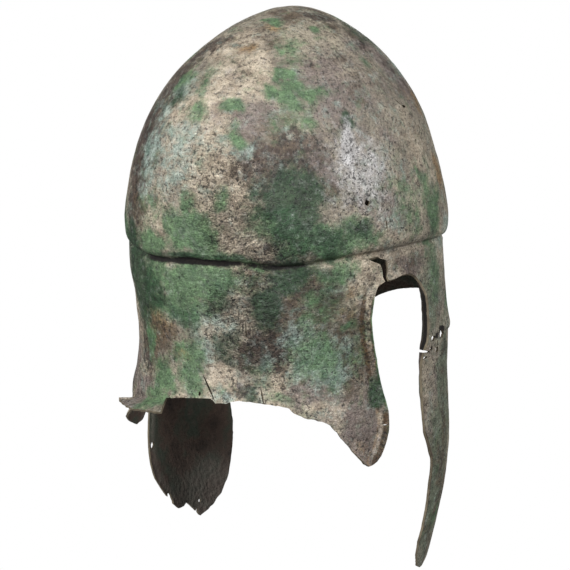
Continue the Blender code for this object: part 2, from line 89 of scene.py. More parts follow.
# Outlines below the groove: azimuth, height. Past 180 at the left they run on from -180.
CRACK_LOW = ((-116.7, 1.8), (-114.5, -0.2), (-112.4, -1.9), (-111.4, -5), (-110.7, -11.6))
CRACK_HIGH = ((-112.5, 2), (-109.8, 0.9), (-108.9, -3), (-109.6, -10.8))
ARCH_RIGHT = (
    (-109.6, -10.8), (-107.9, -10.7), (-105.6, -9.9), (-103.1, -8.9), (-99.4, -9), (-96.5, -11.1),
    (-94.4, -15))
NECK_RIGHT = (
    (-110.7, -11.6), (-113.6, -14.4), (-114.7, -19.8), (-115, -29), (-114.9, -34.4), (-114.3, -40),
    (-112.7, -49.3), (-111, -59), (-109.7, -70.5), (-108.6, -77.4), (-107.7, -83.6), (-106.7, -92),
    (-106.3, -98), (-106.4, -102.5), (-107.2, -109), (-108.9, -116), (-110.8, -119.6))
NECK_LEFT = (
    (-250.2, -11.4), (-246.6, -14.4), (-245.3, -19.8), (-245, -29), (-245.1, -34.4), (-245.7, -40),
    (-247.3, -49.3), (-249.2, -59), (-250.5, -70.5), (-252.6, -77.4), (-255.2, -83.6), (-258.6, -92),
    (-261.4, -98), (-262.8, -104), (-262.4, -111), (-259.4, -117.6), (-254.4, -121.6))
HEM = (
    (-254.4, -121.6), (-247.5, -122.8), (-241.5, -119), (-237, -112), (-233, -105), (-229, -99),
    (-224, -95.6), (-219, -93.2), (-214, -90.5), (-205, -87.7), (-197, -85.3), (-194, -84.6),
    (-188.8, -83.2), (-181, -80.9), (-172.4, -80.1), (-171, -82.2), (-167.7, -82.2), (-162, -79.6),
    (-157.1, -80.5), (-150.6, -81.4), (-143.9, -83.4), (-141.7, -86.6), (-137.8, -89.1), (-131.8, -91.9),
    (-129.2, -94), (-126.5, -98.6), (-124.2, -103.8), (-121.4, -109), (-119, -114), (-116.5, -119),
    (-113.8, -121.8), (-110.8, -119.6))
BROW_HALF = (
    (-48, -44.5), (-43, -40.6), (-38, -39.4), (-33, -38.4), (-27.3, -38.7), (-22.4, -40), (-16.2, -42.1),
    (-13.3, -43.4), (-7.8, -46.6), (-4.6, -49), (-2, -51.6), (0, -53.2))
BROW = BROW_HALF + mirrored(BROW_HALF[:-1])
ARCH_LEFT = mirrored(ARCH_RIGHT[2:]) + ((109.8, -11.4),)
CHEEK_FRONT = (
    (48, -44.5), (52, -51), (55, -60), (57, -72), (58.2, -85), (58.4, -98), (57.8, -112), (56.6, -124),
    (55.2, -138.7), (54.8, -150), (55.1, -161), (56.4, -172), (58, -182.8), (61.1, -193.1))
REAR_LEFT = (
    (94.4, -15), (93.4, -20), (92.6, -32), (92.4, -48), (93.4, -57), (94.2, -63), (94, -72), (93, -91),
    (93.4, -108), (94.8, -122), (96.2, -139), (95.4, -155), (93, -170), (89.4, -181), (85.9, -189.8),
    (82.6, -195.4))
REAR_RIGHT = (
    (-94.4, -15), (-93.4, -20), (-92.6, -32), (-92.4, -48), (-93.4, -57), (-93.6, -63), (-93.2, -72),
    (-91.8, -91), (-89.8, -108), (-86.4, -121), (-84.6, -128), (-84.2, -139), (-84.2, -152), (-84.5, -167),
    (-84.5, -180))
TIP_LEFT = (
    (61.1, -193.1), (65.1, -199.2), (68.3, -203.3), (71.7, -204.9), (74.3, -200.4), (77.8, -193.4),
    (80, -195.2), (82.6, -195.4))
TIP_RIGHT = ((-84.5, -180), (-82.4, -193), (-79, -202), (-74.5, -206.4), (-67.5, -202.5), (-61.1, -193.1))
# Each outline: its points, whether they are joined smoothly, size of its bites, seed
OUTLINES = {
    "crack_low": (CRACK_LOW, True, 0.35, 1), "crack_high": (CRACK_HIGH, True, 0.35, 2),
    "arch_right": (ARCH_RIGHT, True, 0.1, 3), "arch_left": (ARCH_LEFT, True, 0.1, 4),
    "neck_right": (NECK_RIGHT, True, 0.3, 5), "neck_left": (NECK_LEFT, True, 0.3, 6),
    "hem": (HEM, False, 0.45, 7), "rear_right": (REAR_RIGHT, True, 0.3, 8),
    "rear_left": (REAR_LEFT, True, 0.3, 9), "front_left": (CHEEK_FRONT, True, 0.3, 10),
    "front_right": (CHEEK_FRONT, True, 0.3, 11), "brow": (BROW, True, 0.15, 12),
    "tip_right": (TIP_RIGHT, False, 0.5, 13), "tip_left": (TIP_LEFT, False, 0.5, 14)}
# Seams between the patches: where each one meets the outlines
SEAMS = {"neck_left": NECK_LEFT[0], "rear_right": REAR_RIGHT[0], "front_right": BROW[0],
         "front_left": CHEEK_FRONT[0], "rear_left": REAR_LEFT[0], "arch_left": ARCH_LEFT[-1]}
# Bites in an outline: share of their size, size of the noise in millimetres, seed
BITES = ((1.0, 5.0, 11), (0.7, 1.9, 12))
BITE_SEEDS_APART = 7.3
BITE_FADE = 4.0
PATH_STEP = 0.7
# Ends of the hem that turn up to the ear openings, as azimuths
HEM_CORNERS = (-237.0, -119.0)

# Flange turned out at the nape: azimuth of its root, of its tip, how far out, how far down
FLANGE = (
    (-219, -221, 10.5, 0.6), (-214, -214.5, 11, 3.4), (-205, -203, 11.5, 4.8), (-197, -192.6, 12, 4.8),
    (-194, -188.8, 12, 4.6))
# Waves of its torn edge: size in millimetres, radians for each degree of azimuth, start
FLANGE_WAVES = ((0.5, 2.1, 0.0), (0.3, 5.3, 1.0))
FLANGE_DROOP, ROOT_SLACK = 0.8, 0.05

# Holes and cracks: azimuth, height, half width, half height, turn from upright, depth of a crack
THROUGH = 7.0
HOLES = (
    (-117.7, 34.8, 1.9, 1.8, 0), (-88.9, 87.4, 1.8, 0.9, 0), (-82.7, -52.7, 3, 1.6, 0),
    (-75.3, -52.4, 4.2, 2.6, -8), (-84.1, -58.4, 2.2, 1.1, 0), (-79.6, -60.8, 2.2, 1.8, 0),
    (-79, -56.6, 0.5, 1.6, 20), (-88.2, -63, 3, 0.8, 0), (94.2, -146.8, 2.3, 2.6, 0),
    (71.5, -195, 1.1, 1.1, 0))
CRACKS = (
    (-90.2, -58.2, 11.5, 0.9, -11, THROUGH), (86.6, -187.5, 1.8, 5.2, -20, THROUGH),
    (-173.8, -74.4, 0.5, 8.8, 30, THROUGH), (-177.7, -78, 0.7, 1.5, 0, THROUGH),
    (-91.6, 89.7, 4.4, 0.3, -38, 0.9), (-159.7, -38.3, 0.4, 5.6, 2, 0.9), (-153.4, -77, 0.4, 5.5, 12, 0.9),
    (-107.2, -98.4, 1.6, 0.35, 0, THROUGH), (-111.4, 21.8, 0.4, 3.6, 8, 0.9),
    (73.6, -201.5, 1, 2.6, 20, THROUGH))
CUTTER_SIDES = 16
CUTTER_RADII = (0.8, 1.15)
HOLE_SEED, CRACK_SEED = 40, 60

# Out-turned rim beside the ear openings: height, then its width and rise there
RIM_NECK = ((0, 2.6, 1.6), (-12, 3, 2), (-22, 7.5, 4), (-90, 7.5, 3.6), (-122, 6, 2.2))
RIM_CHEEK = (
    (0, 2.6, 1.6), (-12, 3.4, 3), (-22, 6, 6.4), (-52, 6, 6.2), (-64, 5, 3.4), (-122, 4.5, 1.6),
    (-150, 4, 0.8), (-215, 3, 0.3))
# Shape of the rim: power of its curl, then place, width and depth of the hollow beside it
RIM_CURL = 1.25
HOLLOW_AT, HOLLOW_WIDTH, HOLLOW_DEPTH = 1.15, 0.3, 0.2

# Mesh: rows down each part and columns across it, and the two widths in millimetres
BOWL_ROWS, LINTEL_ROWS, NECK_ROWS, BROW_ROWS, CHEEK_ROWS = 76, 8, 62, 20, 96
RIM_STEPS = (0.0, 0.8, 1.7, 2.6, 3.5, 4.5, 5.6, 6.8, 8.1, 9.6, 11.5)
NECK_MID, LINTEL_MID, CHEEK_MID, BROW_MID, CRACK_MID = 112, 14, 30, 70, 4
NECK_WIDTH, CHEEK_WIDTH = 240.0, 75.0
SHARP = 0.6     # cosine of the turn that makes a corner sharp
SAMPLES = 400     # places by which the climb up the back of the bowl is measured
SURELY_KNOWN = 0.99     # share of old vertices in a vertex's stains
SMOOTH_ANGLE = 50.0     # degrees: sharper edges show as edges

# Relief: hammered waves as strength, size in millimetres and seed, then the lumps of the crust
HAMMERED = ((0.34, 26.0, 1), (0.18, 9.0, 2))
LUMP_SIZE, LUMP_SEED, BARE_LUMPS, CRUST_LUMPS = 3.6, 3, 0.10, 0.55
# Dents: azimuth, height, half width, half height, depth
DENTS = (
    (-153, 12.7, 4.5, 3.5, 0.9), (-117, 36.5, 3, 2.5, 0.5), (-108, 20, 6, 6, -0.4), (-65, -56, 6, 5, 1.1),
    (-66, -50, 3, 3, -0.6))

# Stains: azimuth, height, half width and half height in millimetres, strength
MALACHITE = (
    (-167, 86, 6, 5, 1), (-161, 71, 6, 6, 0.9), (-151, 96, 6, 5, 1), (-143, 90, 7, 6, 1),
    (-146, 105, 5, 5, 1), (-140, 98, 7, 4, 0.9), (-133, 93, 6, 4, 0.8), (-141, 80, 11, 7, 0.6),
    (-166, 135, 6, 3, 0.8), (-127, 131, 4, 3, 0.8), (-145, 119, 7, 14, 0.45), (-98, 113, 4, 4, 0.6),
    (158, 102, 6, 9, 0.7), (175, 99, 5, 12, 0.55), (176, 84, 8, 9, 0.5), (-180, 34, 5, 6, 0.8),
    (-168, 38, 5, 6, 0.7), (-179, 16, 15, 12, 1.1), (162, 6, 12, 6, 0.9), (-170, 3, 18, 4, 0.8),
    (-149, 27, 14, 7, 0.9), (-135, 21, 22, 6, 1), (-130, 11, 26, 5, 1), (-89, 39, 6, 11, 0.8),
    (-80, 36, 8, 8, 0.6), (-91, 50, 4, 4, 0.6), (-176, -10, 24, 12, 1.1), (177, -26, 16, 9, 1),
    (-130, -10, 7, 5, 0.8), (-126, -3, 7, 5, 0.8), (-133, -22, 12, 12, 0.4), (163, -12, 12, 14, 0.8),
    (-122, -36, 4, 4, 0.9), (-137, -39, 9, 9, 0.4), (-132, -57, 16, 14, 0.6), (164, -72, 10, 10, 1),
    (177, -59, 8, 10, 0.8), (-155, -62, 5, 8, 0.5), (-200, -88, 9, 9, 0.9), (155, -50, 5, 10, 0.8),
    (-80, -12, 9, 15, 0.6), (-100, 32, 14, 14, 0.5), (-85, 22, 8, 14, 0.8), (-162, 3, 12, 3, 0.8),
    (178, -70, 8, 8, 0.8), (163, 32, 8, 12, 0.5), (-145, -78, 8, 4, 0.6))
DARK_GREEN = (
    (-145, -8, 8, 8, 1.1), (-148, -3, 10, 6, 0.8), (-146, 10, 12, 7, 0.7), (-136, 14, 14, 9, 0.9),
    (-124, 17, 12, 6, 0.7), (146, -12, 13, 26, 1.3), (162, -22, 12, 14, 0.8), (174, -36, 10, 8, 0.6),
    (-168, -50, 8, 10, 0.6), (-150, -12, 10, 8, 0.6), (158, -8, 9, 6, 0.8), (-144, 36, 17, 17, 1.3),
    (-151, 30, 14, 8, 0.7), (-121, 81, 5, 5, 0.9), (-88, 16, 8, 11, 0.6), (152, -20, 15, 18, 1.1),
    (-152, -23, 8, 10, 1.1), (-151, -5, 9, 5, 0.9), (-145, -5, 24, 4, 0.6), (-110.5, -75, 4.5, 8.5, 1.2),
    (160, 92, 6, 8, 0.8), (-170, -24, 12, 6, 0.5), (-159, -75, 6, 6, 0.7))
VERDIGRIS = (
    (-166, -14, 10, 8, 0.5), (156, 60, 12, 30, 0.45), (160, 92, 9, 14, 0.55), (174, 62, 13, 20, 0.5),
    (171, 45, 12, 8, 0.5), (-107, 24, 7, 7, 0.5), (-172, -34, 16, 9, 0.5), (-176, -46, 9, 12, 0.45),
    (-144, -40, 9, 7, 0.6), (-132, -57, 16, 13, 0.6), (-161, 66, 10, 7, 0.4), (-154, -60, 4, 16, 0.5),
    (173, -30, 3, 10, 0.6), (-112, 58, 14, 20, 0.25), (-171, -80, 8, 4, 0.6))
CUPRITE = (
    (158, 66, 7, 22, 0.6), (158, 122, 10, 7, 0.8), (146, 50, 10, 40, 1), (-157, -50, 7, 10, 0.9),
    (147, 59, 15, 34, 0.9), (146, 76, 14, 24, 1), (146, 97, 13, 22, 1), (150, 118, 10, 8, 0.8),
    (-152, 58, 17, 13, 0.7), (-141, 62, 14, 12, 0.55), (-151, -48, 11, 13, 0.95), (-141, -14, 6, 12, 0.6),
    (-105, 138, 10, 4, 1), (-88, 124, 7, 3, 0.9), (-78, 108, 6, 8, 0.5), (152, -57, 8, 9, 0.7),
    (-140, -20, 20, 12, 0.35), (-153, 12.7, 3.5, 2.5, 1), (-162, -75, 9, 6, 0.6),
    # painted shade: the last row darkens the top of the large hole
    (-75.4, -49.6, 3.5, 1.8, 1.2))
EARTH = (
    (-169, 60, 8, 9, 1.3), (-165, 22, 9, 9, 1.5), (178, 122, 14, 10, 1.2), (-176, 104, 10, 10, 1),
    (-168, 48, 12, 10, 1.3), (-172, 86, 9, 9, 1.2), (-171, 50, 16, 14, 1.2), (-108, 18, 18, 8, 0.6),
    (-84, 52, 10, 20, 0.6), (-178, 116, 14, 10, 0.8), (175, 82, 20, 14, 0.8), (176, 62, 14, 16, 0.5),
    (-155, 22, 10, 8, 0.7), (-169, -68, 9, 8, 0.8), (-168, 105, 20, 15, 0.8), (-170, 62, 18, 20, 0.8),
    (-160, 42, 12, 7, 0.6), (-164, 26, 14, 18, 1.3), (-152, 11, 10, 5, 0.7), (-158, -6, 5, 12, 0.9),
    (-164, -27, 9, 12, 0.8), (-169, -76, 12, 6, 1), (-120, -1, 12, 7, 0.9), (-121, -18, 8, 12, 0.7),
    (-105, -3, 14, 5, 0.7), (-89, 65, 12, 18, 0.6), (-150, -72, 16, 7, 0.7), (-134, -75, 12, 9, 0.4),
    (-132, -86, 18, 7, 0.9), (-88, -85, 4, 32, 0.5), (-112, -15, 4, 6, 1), (165, 26, 12, 12, 0.6))
OCHRE = (
    (-170, 120, 8, 6, 0.8), (-159, 132, 6, 3, 0.9), (158, -42, 14, 12, 1), (174, -59, 4, 3, 0.9),
    (-122, -25, 9, 13, 0.4), (150, 30, 5, 22, 0.6), (-117, -112, 9, 7, 0.3))
MAUVE = (
    (-97, -4, 14, 5, 0.7), (-134, -76, 14, 8, 0.7), (-130, -88, 16, 8, 0.4), (-113, -85, 8, 14, 0.7),
    (-171, 80, 12, 9, 0.3), (-106, 77, 14, 12, 0.45), (-88, 124, 14, 9, 0.9), (-78, 108, 10, 18, 0.8),
    (-136, 55, 13, 13, 0.7), (-117, -103, 14, 24, 0.9), (150, -84, 12, 7, 0.9), (-80, -90, 18, 62, 0.3),
    (-211, -92, 12, 8, 0.9), (-124, -47, 10, 22, 0.5), (-112, 30, 20, 14, 0.5), (102, -113, 9, 9, 0.9),
    (-158, 82, 10, 10, 0.7), (-125, 98, 26, 26, 0.6))
# Glossy patches with a painted highlight: lower roughness, and a near-white colour where the soft boxes'
# reflection lies
GLOSSY_PAINTED_HIGHLIGHT = ((-119, 54, 17, 20, 0.6), (-121, 66, 5, 13, 1.1), (-114, 52, 9, 10, 0.8), (-113, 42, 8, 12, 0.5))
UMBER = (
    (-147, -56, 9, 14, 0.7), (-112, -64, 6, 12, 0.6), (-99, -5, 8, 5, 0.6), (-146, -33, 10, 10, 0.9),
    (-120, -30, 10, 20, 0.4), (-143, -11, 12, 12, 1.1), (-122, -42, 8, 16, 0.7), (-137, 8, 10, 6, 0.6),
    (-147, -40, 10, 10, 0.8), (-148, -9, 18, 12, 0.9), (-142, -22, 10, 12, 0.8), (-147, 5, 14, 4, 0.8),
    (-133, -30, 12, 12, 0.5), (-125, -60, 14, 16, 0.45), (-72, -150, 16, 50, 0.5), (-140, 136, 40, 9, 0.5),
    (-146, 58, 22, 18, 0.6), (-138, 48, 20, 10, 0.5), (-146, -24, 22, 24, 0.6), (149, 80, 9, 50, 0.6),
    (155, -45, 16, 24, 0.6), (-95, 134, 26, 8, 0.6), (-165, 139, 26, 7, 0.45), (-120, 140, 26, 6, 0.6),
    (-152, 20, 14, 8, 0.25), (175, 8, 20, 8, 0.25), (-151, -50, 16, 16, 0.6), (-105, 95, 24, 26, 0.12),
    (-147, -20, 12, 14, 1), (165, -50, 12, 16, 0.5), (152, 40, 8, 30, 0.8), (-120, -62, 9, 14, 0.9),
    (-140, 143, 40, 7, 0.5), (-175, 125, 30, 10, 0.4))
OLIVE = (
    (-131, -47, 12, 10, 0.8), (-121, -40, 10, 16, 0.8), (-122, -55, 8, 14, 0.6), (176, 100, 8, 10, 0.6),
    (-133, -18, 12, 16, 0.7), (-72, -95, 11, 45, 1), (-78, -150, 16, 45, 1.1), (-82, -20, 12, 26, 0.7),
    (-84, 50, 5, 18, 0.6), (160, 98, 10, 12, 0.6))
CRUST = (
    (-164, 23, 16, 16, 1), (-152, 12, 20, 9, 1), (-170, 45, 20, 20, 0.5), (-158, -8, 10, 14, 0.8),
    (-164, -27, 14, 12, 0.9), (-155, -45, 22, 18, 0.7))
# Painted shade beside the large hole, then painted shadow in the groove under the foot: azimuth, strength
HOLE_PAINTED_SHADE = ((-75.3, -49.6, 5, 2, 1.3), (-80, -52, 3, 2, 0.9))
GROOVE_PAINTED_SHADOW = (
    (-260, 0.2), (-208, 0.25), (-199, 1.1), (-165, 1.2), (-158, 0.7), (-138, 0.4), (-125, 0.35),
    (-116, 0.4), (-108, 0.1), (100, 0.2))
GROOVE_SHADOW_WAVES = ((0.3, 17.0, 71), (0.2, 6.0, 72))
# Lines round the helmet: height above the groove, half width, strength. They are the painted shadow in the
# groove, the dark green on the foot above it (partly its patina and partly painted shade), and earth below
# the groove
GROOVE_SHADOW_LINE, GREEN_AND_SHADE_LINE, EARTH_LINE = (-1.2, 1.9, 1.0), (2.2, 1.8, 0.7), (-4.0, 1.4, 0.65)
# How far noise pushes a stain aside in millimetres, size of that noise, seed
DRIFT = ((5.0, 14.0, 60), (2.2, 5.0, 63))
BLOT_FALL, BLOT_POWER, BLOT_DEPTH = 0.55, 1.5, 25.0
# Stains that the photograph shows, by name
MARKS = {"earth": EARTH, "mauve": MAUVE, "olive": OLIVE, "ochre": OCHRE, "umber": UMBER,
         "cuprite": CUPRITE, "verdigris": VERDIGRIS, "malachite": MALACHITE,
         "dark_green": DARK_GREEN, "gloss_and_painted_highlight": GLOSSY_PAINTED_HIGHLIGHT, "crust": CRUST}
# Stains on the sides out of the photograph: name, seed, count, lowest and highest place, size
UNSEEN = (
    ("earth", 21, 30, -190, 140, 14), ("mauve", 22, 14, -200, 120, 18), ("olive", 28, 16, -190, 130, 18),
    ("umber", 30, 12, -190, 130, 22), ("ochre", 23, 9, -120, 135, 8), ("cuprite", 24, 16, -195, 140, 12),
    ("verdigris", 25, 18, -195, 130, 11), ("malachite", 26, 34, -195, 140, 9),
    ("dark_green", 27, 12, -190, 130, 9), ("crust", 29, 10, -190, 130, 14))
UNSEEN_AZIMUTHS = (-75.0, 138.0)
UNSEEN_WIDTHS, UNSEEN_HEIGHTS, UNSEEN_STRENGTHS = (0.5, 1.6), (0.5, 1.4), (0.5, 1.0)
# Edges with stripes: outline, its rim, kind of edge
STRIPED = (
    ("neck_right", RIM_NECK, "neck"), ("neck_left", RIM_NECK, "neck"),
    ("rear_right", RIM_CHEEK, "cheek"), ("rear_left", RIM_CHEEK, "cheek"), ("hem", RIM_NECK, "hem"))
# Stripes by edge: stain, distance from the edge, half width, strength, stretch of the edge
STRIPES = {
    "neck": (("malachite", 0.0, 0.8, 0.9, "upper"), ("earth", 2.9, 1.7, 1.5, "upper"),
             ("ochre", 3.0, 1.4, 0.4, "upper"), ("rust", 6.0, 1.2, 1.8, "upper"),
             ("rust", 0.9, 0.7, 1.0, "upper"), ("rust", 1.8, 2.2, 1.2, "lower"),
             ("earth", 5.4, 1.5, 1.3, "lower"), ("ochre", 6.8, 1.2, 0.7, "lower"),
             ("mauve", 8.0, 2.5, 0.5, "all")),
    # on the cheekpieces the near-black stripe is painted shade beside the out-turned rim
    "cheek": (("rust", 1.2, 2.6, 1.1, "lower"), ("cuprite", 2.6, 3.8, 1.5, "upper"),
              ("painted_shade", 2.5, 4.5, 1.2, "upper"), ("mauve", 4.0, 2.5, 0.5, "all")),
    "hem": (("earth", 0.5, 2.0, 0.8, "all"),)}
# Depths over which the stripes begin, and where the upper stretch gives way to the lower one
STRIPES_BEGIN = (14.0, 26.0)
LOWER_FROM = {"neck": (84.0, 92.0), "cheek": (56.0, 62.0), "hem": (56.0, 62.0)}
STRIPE_BITES = 0.3

# Stains laid over each other in this order, the last two a painted highlight and painted shade.
# Columns: name, dark and light colour, size of the noise in millimetres, how far it breaks the
# edge, strength everywhere, half of the ramp, cover
STAINS = (
    ("earth", "#9c8c78", "#d8cab4", 12, 2.4, 0.16, 0.42, 0.9),
    ("mauve", "#6c5f5c", "#8b7d77", 12, 2.4, 0.14, 0.36, 0.85),
    ("olive", "#525e4c", "#75806a", 14, 2.6, 0.12, 0.36, 0.85),
    ("ochre", "#7a5a34", "#a88a5c", 7, 2.2, 0.02, 0.34, 0.75),
    ("umber", "#3a2e25", "#6a5a48", 12, 3.8, 0.08, 0.34, 0.85),
    ("cuprite", "#261d18", "#54433a", 5, 4, 0.08, 0.24, 0.85),
    ("rust", "#2a2014", "#60462a", 4, 1.2, 0, 0.34, 0.95),
    ("verdigris", "#7c9489", "#b3c2b8", 8, 3.2, 0.10, 0.38, 0.8),
    ("malachite", "#36543a", "#688c60", 11, 2.8, 0.10, 0.38, 0.88),
    ("dark_green", "#162d19", "#2c5032", 11, 2.8, 0, 0.40, 0.9),
    # painted highlight: near white over the glossy patches, where the soft boxes' reflection lies
    ("gloss_and_painted_highlight", "#aeabaa", "#e6e4e5", 5, 2.2, 0, 0.5, 0.85),
    # painted shade: near black in the groove under the foot, beside the large hole and beside the
    # cheekpieces' rims
    ("painted_shade", "#060504", "#1c1612", 3, 1.6, 0, 0.24, 1))
GROUND = ("#81786b", "#aca28f")
# Noises of the outer face: name, size in millimetres, detail, roughness
NOISES = (
    ("cloud", 30, 4, 0.6), ("mottle", 6, 4, 0.65), ("speck", 2, 3, 0.65), ("grain", 0.8, 2, 0.6),
    ("pit", 2.2, 3, 0.75), ("chip", 1.7, 2, 0.6), ("brush", 6, 3, 0.6), ("vein", 4, 3, 0.6),
    ("shade", 7, 6, 0.74))
STAIN_DETAIL, STAIN_ROUGHNESS, SEEDS_APART = 8.0, 0.74, 3.7
HALF_RAMP = 0.14     # half width of the ramps that turn a noise into light and dark
BRUSHED = (1.0, 1.0, 6.0)     # the brush noise is flattened, as strokes round the helmet
# Spots over all stains: noise, its low and high, factor of the colour at each
SPOTS = (
    ("grain", 0.3, 0.7, 0.66, 1.25), ("speck", 0.34, 0.66, 0.76, 1.16), ("brush", 0.36, 0.64, 0.78, 1.14),
    ("pit", 0.64, 0.69, 1, 0.25), ("vein", 0.004, 0.03, 0.4, 1), ("chip", 0.63, 0.69, 1, 1.5))
MEAN_SPOT = 0.85
# What opens the pits: share of the glossy patches with their painted highlight, of the cloud noise and of
# the malachite
PIT_SHARES = {"gloss_and_painted_highlight": 0.035, "cloud": 0.18, "malachite": -0.05}
# Gaps in the veins: low and high of the mottle, and what it adds to the vein at each
VEIN_GAPS = (0.42, 0.50, 0.0, 0.05)
# Contrast of the spots: two heights in metres, the contrast at each, and what the crust adds
SIDE_TO_CROWN = (-0.11, -0.06, 1.0, 0.72)
CRUST_CONTRAST = 0.6
# Roughness of the outer face: low and high of the mottle, the roughness at each, and what the
# glossy patches and the painted shade add to it
DULLNESS = (0.3, 0.7, 0.44, 0.68)
SHEEN_DULLNESS, PAINTED_SHADE_DULLNESS = -0.34, 0.4
# Height for the bump: noise and share; then its strength outside and inside the crust
HEIGHTS = (("speck", 0.5), ("grain", 0.22), ("pit", -0.5))
BUMP_STRENGTHS, BUMP_DISTANCE = (0.32, 0.95), 0.017

# Inner face: places and colours of the ramp, partly its own cuprite and partly painted shade; the
# pale colour and the painted-shade colour; and for the painted shade towards the cheekpieces' tips
# two heights in metres and the factor of the colour at each
INSIDE = ((0.3, "#3a312a"), (0.45, "#604f44"), (0.58, "#4a5446"), (0.75, "#745f57"))
INSIDE_PALE, INSIDE_PAINTED_SHADE = "#b3a89d", "#120e0b"
TIPS_PAINTED_SHADE = (-0.33, -0.28, 0.4, 1.0)
INSIDE_ROUGHNESS, EDGE_ROUGHNESS = 0.75, 0.7
EDGE_COLOURS = ("#2e2620", "#8a7f68")

# Camera as fitted to the photograph: place in metres, right, up and back, focal length in mm
CAMERA_AT, CAMERA_LENS = (-0.4749, 0.8053, -0.0160), 94.49
CAMERA_AXES = ((-0.8579, -0.5133, 0.0231), (0.1043, -0.1300, 0.9860), (-0.5032, 0.8483, 0.1650))
SENSOR_WIDTH = 36.0
# Soft boxes: name, azimuth, elevation, size in metres, watts
LIGHTS = (("soft_box_left", 174.0, 26.5, 0.5, 27.8), ("soft_box_right", 271.0, 28.0, 0.4, 15.0),
          ("soft_box_front", 30.0, 5.0, 0.6, 5.0))
LIGHTS_AIM, LIGHTS_AWAY = (0.0, 0.0, -0.15), 1.6
SKY = 0.225
WHITE, PAPER = (1.0, 1.0, 1.0, 1.0), "#8c8c8c"
FLOOR_HALF, FLOOR_Z = 8.0, -0.62


def curve(t, knots, values):
    """Smooth curve through the knots: cubic between neighbours, slopes from both sides."""
    k, v = np.asarray(knots, float), np.asarray(values, float)
    slope = np.gradient(v, k)
    i = np.clip(np.searchsorted(k, t, side="right") - 1, 0, len(k) - 2)
    step = k[i + 1] - k[i]
    u = np.clip((t - k[i]) / step, 0.0, 1.0)
    return ((1 + 2 * u) * (1 - u) ** 2 * v[i] + u * (1 - u) ** 2 * step * slope[i]
            + u * u * (3 - 2 * u) * v[i + 1] + u * u * (u - 1) * step * slope[i + 1])


def ease(x, low, high):
    """0 below low, 1 above high and an S-shaped ramp between them."""
    u = np.clip((x - low) / (high - low), 0.0, 1.0)
    return u * u * (3 - 2 * u)


def bell(x, middle, width):
    """1 at the middle, falling away on both sides."""
    return np.exp(-((x - middle) / width) ** 2)


def wrap(azimuth):
    """The same azimuth between -180 and 180."""
    return (np.asarray(azimuth, float) + 180.0) % 360.0 - 180.0


def lattice(point, size, seed, count=32):
    """Smooth noise from -1 to 1: random values on a cubic lattice of that size, eased between."""
    cell = np.random.default_rng(seed).uniform(-1, 1, (count, count, count))
    at = np.asarray(point) / size
    low = np.floor(at).astype(int)
    u = at - low
    u = u * u * (3 - 2 * u)
    total = 0.0
    for corner in np.ndindex(2, 2, 2):
        weight = np.prod(np.where(corner, u, 1 - u), axis=-1)
        total = total + weight * cell[tuple(((low + corner) % count)[..., i] for i in range(3))]
    return total


def waves(points, rows):
    """Sum of noises. Each row has a strength, a size in millimetres and a seed."""
    return sum(strength * lattice(points, size, seed) for strength, size, seed in rows)


def groove_z(azimuth):
    """Height of the groove, a smooth curve of the azimuth."""
    a, z = np.array(GROOVE, float).T
    return curve(wrap(azimuth), a, z)


def on_oval(azimuth, half_width, front, back):
    """Point on an oval that is half an ellipse to the front and half to the back."""
    t = np.radians(azimuth)
    reach = np.where(np.cos(t) > 0, front, back)
    return half_width * np.sin(t), -reach * np.cos(t)


def widest_oval(azimuth, offset=0.0):
    """Point on the helmet's widest oval, or out from it by an offset."""
    return on_oval(azimuth, HALF_WIDTH + offset, FRONT_REACH + offset, BACK_REACH + offset)


# Azimuths and the distances round the widest line that belong to them
AZIMUTHS = np.linspace(-300.0, 300.0, 2401)
ARCS = np.cumsum(np.hypot(*np.diff(widest_oval(AZIMUTHS), axis=1, prepend=0.0)))
ARCS = ARCS - np.interp(0.0, AZIMUTHS, ARCS)


def to_arc(azimuth):
    """Distance round the widest line, in millimetres, from the front."""
    return np.interp(azimuth, AZIMUTHS, ARCS)


def to_azimuth(arc):
    """Azimuth at a distance round the widest line."""
    return np.interp(arc, ARCS, AZIMUTHS)


def bowl_point(azimuth, latitude):
    """Bowl: an oval whose three reaches follow the table as it climbs to the crown."""
    lat, width, front, back = np.array(BOWL, float).T
    rise = np.sin(np.radians(latitude))
    x, y = on_oval(azimuth, curve(latitude, lat, width), curve(latitude, lat, front),
                   curve(latitude, lat, back))
    z = WIDEST_Z + (CROWN_Z - WIDEST_Z) * rise + groove_z(azimuth) * (1 - rise) ** GROOVE_FADE
    return np.stack([x, y - CROWN_FWD * rise, z], -1)


def side_point(azimuth, z, lift=0.0):
    """Sheet below the groove: the widest oval, offset by the table, the bent places and lift."""
    table = np.array(SIDE, float)
    depth, offsets = table[:, 0], table[:, 1:].T
    d = np.clip(np.asarray(z, float) - groove_z(azimuth), depth[-1], depth[0])
    a = np.abs(wrap(azimuth))
    at = [curve(-d, -depth, column) for column in offsets]
    offset = at[0] + lift
    for low, high, before, after in zip(SIDE_AZIMUTHS, SIDE_AZIMUTHS[1:], at, at[1:]):
        offset = offset + ease(a, low, high) * (after - before)
    for across, height, half_width, half_height, rise in BENT:
        u, v = (wrap(azimuth) - across) / half_width, (z - height) / half_height
        offset = offset + rise * np.exp(-u * u - v * v)
    x, y = widest_oval(azimuth, offset)
    return np.stack([x, y, np.broadcast_to(z, x.shape)], -1)


def foot_point(azimuth, up, offset):
    """Rolled foot of the bowl and the groove under it: the widest oval, offset."""
    x, y = widest_oval(azimuth, offset)
    return np.stack([x, y, groove_z(azimuth) + up], -1)


